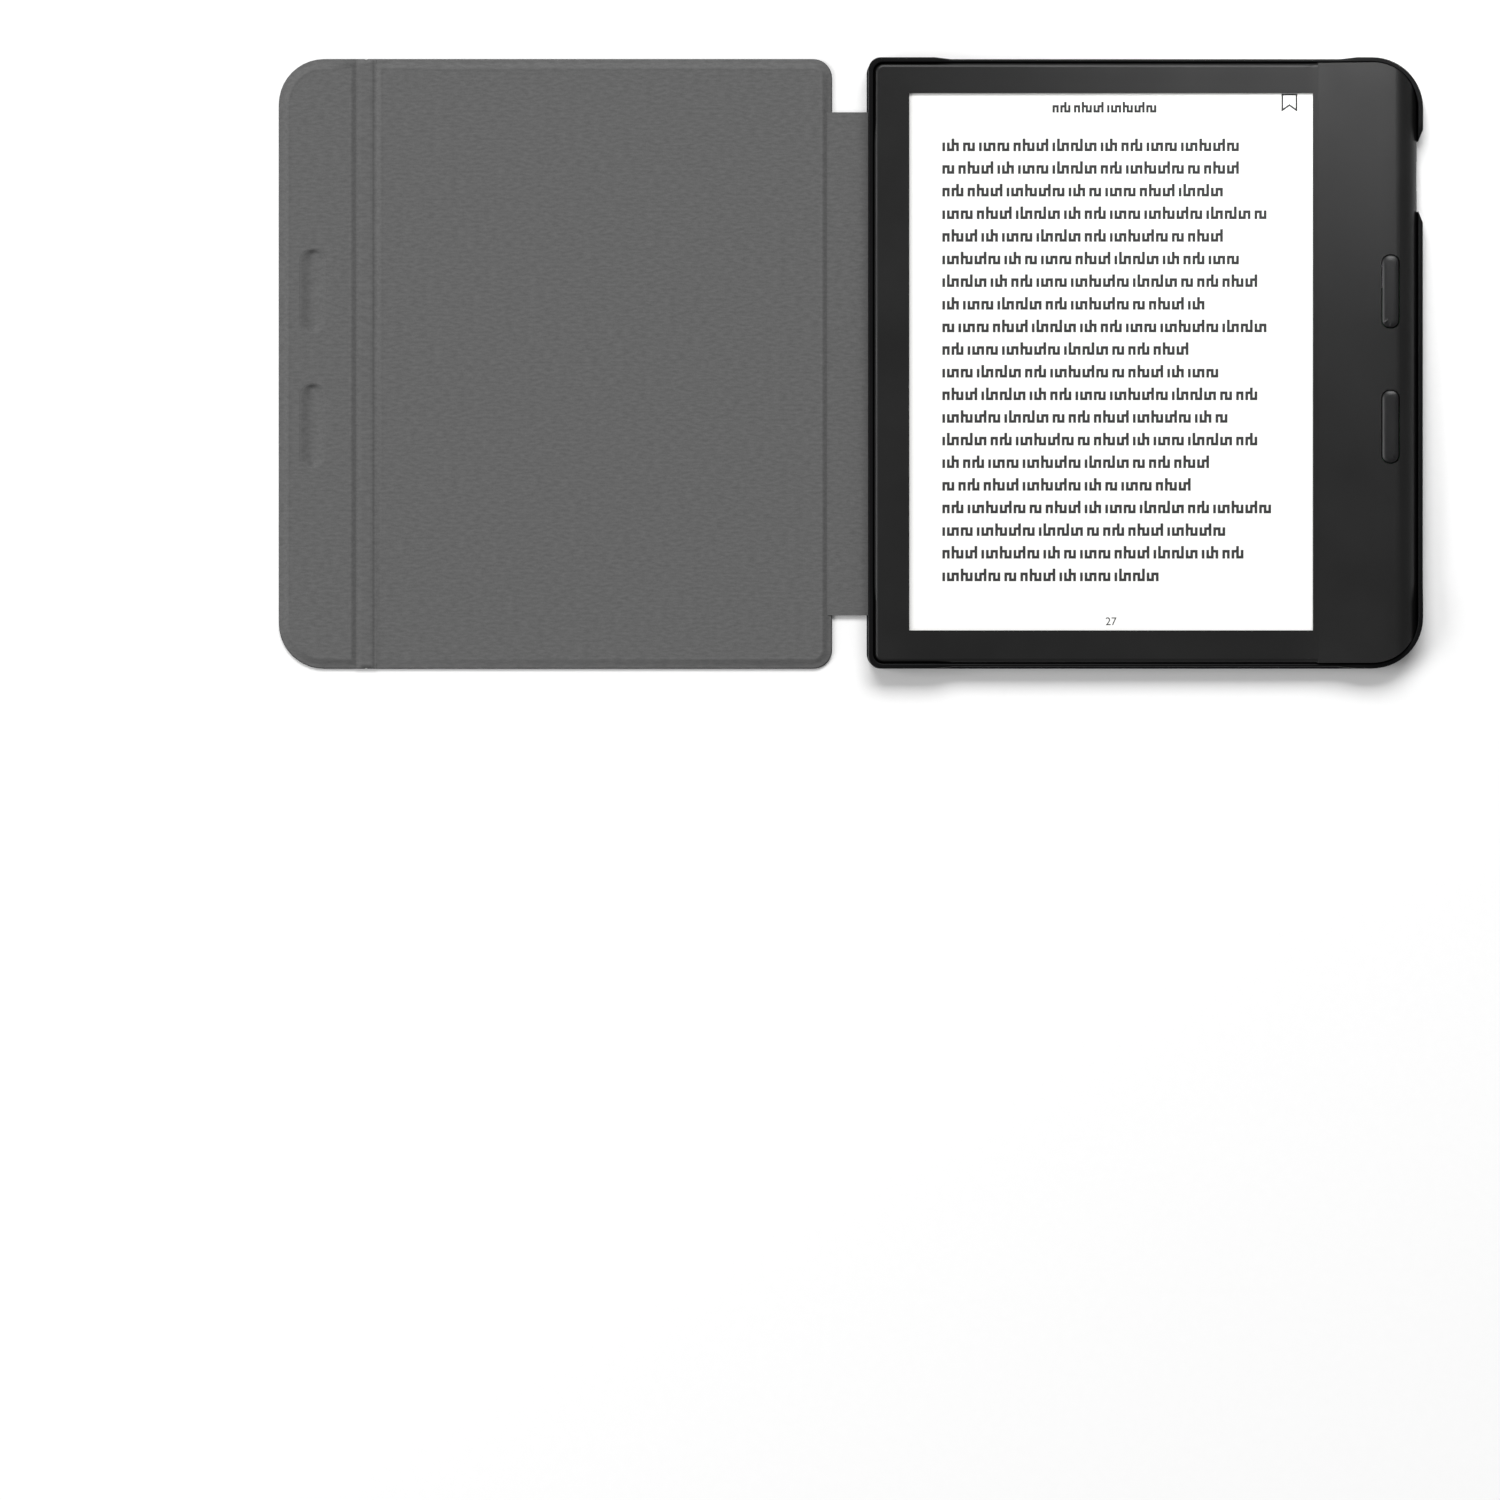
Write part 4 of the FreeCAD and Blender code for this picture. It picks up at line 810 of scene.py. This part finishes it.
class FOLIO_OT_lining(bpy.types.Operator):
    """Make the lining of the cover and of its flap"""
    bl_idname = "folio.lining"
    bl_label = "Lining"

    def execute(self, context):
        main_low = (COVER_BOARD_LOW.x - RIM_REACH, COVER_LOW.y + LINING_EDGE)
        main_high = (COVER_HIGH.x - LINING_EDGE, COVER_HIGH.y - LINING_EDGE)
        hinge = HINGE_CORNER - LINING_EDGE
        main = lining_panel("lining_cover", main_low, main_high, (0, hinge, hinge, 0))
        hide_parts("cover_lining")
        finish(main, microfibre(), "cover", CLOTH_ANGLE)

        flap_low = (FLAP_LOW.x + LINING_EDGE, FLAP_LOW.y + LINING_EDGE)
        flap_high = (FLAP_BOARD_HIGH.x + RIM_REACH, FLAP_HIGH.y - LINING_EDGE)
        free = FREE_CORNER - LINING_EDGE
        flap = lining_panel("lining_flap", flap_low, flap_high, (free, 0, 0, free))
        keys_x = (KEY_BOXES["upper"][0].x + KEY_BOXES["upper"][1].x) / 2
        slot_x = -keys_x + SLOT_SHIFT
        board = refined_copy("flap_board", "flap_board_pocketed", BOARD_EASE,
                             inner_finish("greyboard_pressed"), "flap")
        for row in KEY_BOXES:
            for piece, sink in ((flap, 0), (board, SLOT_SINK)):
                cutter = slot_cutter(row, slot_x, sink)
                modifier(piece, "BOOLEAN", object=cutter, operation="DIFFERENCE", solver="MANIFOLD")
                bpy.data.objects.remove(cutter)
        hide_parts("flap_lining")
        finish(flap, microfibre(), "flap", CLOTH_ANGLE)
        return {"FINISHED"}


class FOLIO_OT_canvas(bpy.types.Operator):
    """Make the canvas outside of the cover and of its flap"""
    bl_idname = "folio.canvas"
    bl_label = "Canvas"

    def execute(self, context):
        cover = canvas_panel("canvas_cover", COVER_LOW, COVER_HIGH, (0, HINGE_CORNER, HINGE_CORNER, 0))
        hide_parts("cover_skin")
        finish(cover, canvas(), "cover")
        flap = canvas_panel("canvas_flap", FLAP_LOW, FLAP_HIGH, (FREE_CORNER, 0, 0, FREE_CORNER))
        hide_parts("flap_skin")
        finish(flap, canvas(), "flap")
        return {"FINISHED"}


class FOLIO_OT_folds(bpy.types.Operator):
    """Make the strips of lining and canvas that lie across the flap's crease and on both sides of the spine
    """
    bl_idname = "folio.folds"
    bl_label = "Folds"

    def execute(self, context):
        lap = RIM_REACH - STRIP_LAP
        crease = (FLAP_BOARD_HIGH.x + lap, COVER_BOARD_LOW.x - lap)
        middle_x = (SPINE_LOW.x + SPINE_HIGH.x) / 2
        cover_side = (COVER_HIGH.x - LINING_EDGE - STRIP_LAP, middle_x)
        reader_side = (middle_x, TRAY_LOW.x - STRIP_GAP)
        spine_y = (SPINE_LOW.y, SPINE_HIGH.y)
        case_y = (COVER_LOW.y + LINING_EDGE, COVER_HIGH.y - LINING_EDGE)
        # Each fold's name, the strip's extent, the bodies it joins, where it bends and how far to each side,
        # the swell of its lining, the foot of its canvas and the nodes that it stands for.
        folds = (
            ("flap", crease, case_y, "flap", "cover", FLAP_FOLD, 1.9 * MM, 0.45 * MM, 0.45 * MM, ()),
            ("cover", cover_side, spine_y, "cover", "spine", COVER_FOLD, 1.15 * MM, 0, 0.2 * MM,
             ("spine_lining", "spine_skin")),
            ("reader", reader_side, spine_y, "spine", "reader", SPINE_FOLD, 1.15 * MM, 0, 0.2 * MM, ()),
        )
        # Every lining strip lies on its canvas strip, and they meet at this height.
        split = LAP_TOP - STRIP_THICKNESS
        for name, (left, right), (foot, head), first, second, fold, reach, swell, cloth_foot, nodes in folds:
            lining = strip(f"lining_fold_{name}", (left, foot), (right, head), split, LAP_TOP, swell)
            finish(lining, microfibre(), None, CLOTH_ANGLE)
            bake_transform(lining)
            cloth = strip(f"canvas_fold_{name}", (left, foot), (right, head), cloth_foot, split)
            finish(cloth, canvas(), None, CLOTH_ANGLE)
            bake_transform(cloth)
            if nodes:
                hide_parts(nodes[0])
                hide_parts(nodes[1])
        return {"FINISHED"}


class FOLIO_OT_inside(bpy.types.Operator):
    """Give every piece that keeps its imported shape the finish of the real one"""
    bl_idname = "folio.inside"
    bl_label = "Inside"

    def execute(self, context):
        for name, *_, nodes in INNER_FINISHES:
            for node in nodes.split():
                for place in frame["nodes"][node].material_slots:
                    place.material = inner_finish(name)
        return {"FINISHED"}


# Stage

# Each softbox: its name, its place and target, its size in metres, its power in watts and its spread in
# degrees; then the strength of the even light from all round.
SOFTBOXES = (
    ("head_softbox", (0, 2.0, 2.2), (0, -0.1, 0), (2.4, 1.2), 82, 180),
    ("left_softbox", (-2.4, -0.2, 1.7), (0, -0.1, 0), (1.6, 1.6), 42, 180),
    ("corner_softbox", (0.105, 0.16, 0.3), (0.165, 0.085, 0), (0.12, 0.12), 0.042, 50),
)
ROOM_LIGHT = 0.317
# The camera's place, and its lens and sensor in millimetres.
CAMERA_PLACE, CAMERA_LENS, CAMERA_SENSOR = (-0.0266, -0.1026, 2.215), 200, 36


def stage_floor():
    """A wide pale sheet of paper."""
    clear_selection()
    bpy.ops.mesh.primitive_plane_add(size=6, location=(0, 0, -0.02 * MM))
    floor = bpy.context.object
    floor.name = "studio_floor"
    material, tree, shader, place = start("matt_backdrop_paper", Roughness=0.9, Specular_IOR_Level=0.1)
    fibre = add(tree, "ShaderNodeTexNoise", {"Vector": place, "Scale": 400.0, "Detail": 2.0})
    surface(tree, shader, tones(tree, fibre.outputs["Fac"], linear("#f4f4f4"), 0.01))
    floor.data.materials.append(material)


def softbox(name, place, target, size, power, spread):
    """An area light that faces the target."""
    clear_selection()
    bpy.ops.object.light_add(type="AREA", location=place)
    light = bpy.context.object
    light.name = name
    light.rotation_euler = (Vector(target) - Vector(place)).to_track_quat("-Z", "Y").to_euler()
    light.data.shape = "RECTANGLE"
    light.data.size, light.data.size_y = size
    light.data.energy = power
    light.data.spread = math.radians(spread)


class FOLIO_OT_stage(bpy.types.Operator):
    """Make the floor, the studio light and the camera"""
    bl_idname = "folio.stage"
    bl_label = "Stage"

    def execute(self, context):
        stage_floor()
        world = bpy.data.worlds.new("studio")
        world.use_nodes = True
        background = world.node_tree.nodes["Background"]
        background.inputs["Color"].default_value = (1, 1, 1, 1)
        background.inputs["Strength"].default_value = ROOM_LIGHT
        context.scene.world = world
        for values in SOFTBOXES:
            softbox(*values)
        camera = bpy.data.objects.new("camera", bpy.data.cameras.new("camera"))
        context.scene.collection.objects.link(camera)
        camera.location = CAMERA_PLACE
        camera.data.lens = CAMERA_LENS
        camera.data.sensor_width = CAMERA_SENSOR
        context.scene.camera = camera
        context.scene.view_settings.view_transform = "Standard"
        return {"FINISHED"}


OPERATORS = (FOLIO_OT_casing, FOLIO_OT_keys, FOLIO_OT_tray, FOLIO_OT_page, FOLIO_OT_lining, FOLIO_OT_canvas,
             FOLIO_OT_folds, FOLIO_OT_inside, FOLIO_OT_stage)


class FOLIO_PT_panel(bpy.types.Panel):
    """The folio's settings, and a button for each of its pieces"""
    bl_idname = "FOLIO_PT_panel"
    bl_label = "Folio"
    bl_space_type = "VIEW_3D"
    bl_region_type = "UI"
    bl_category = "Folio"

    def draw(self, context):
        for group in (context.scene.folio_sizes, context.scene.folio_colours):
            box = self.layout.box()
            for name in group.bl_rna.properties.keys():
                if name not in ("rna_type", "name"):
                    box.prop(group, name)
        for operator in OPERATORS:
            self.layout.operator(operator.bl_idname)


CLASSES = (FolioColours, FolioSizes, *OPERATORS, FOLIO_PT_panel)


def register():
    for item in CLASSES:
        bpy.utils.register_class(item)
    bpy.types.Scene.folio_colours = bpy.props.PointerProperty(type=FolioColours)
    bpy.types.Scene.folio_sizes = bpy.props.PointerProperty(type=FolioSizes)


def unregister():
    del bpy.types.Scene.folio_sizes
    del bpy.types.Scene.folio_colours
    for item in reversed(CLASSES):
        bpy.utils.unregister_class(item)


def main():
    register()
    for operator in OPERATORS:
        getattr(bpy.ops.folio, operator.bl_idname.split(".")[1])()
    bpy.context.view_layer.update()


if __name__ == "__main__":
    main()
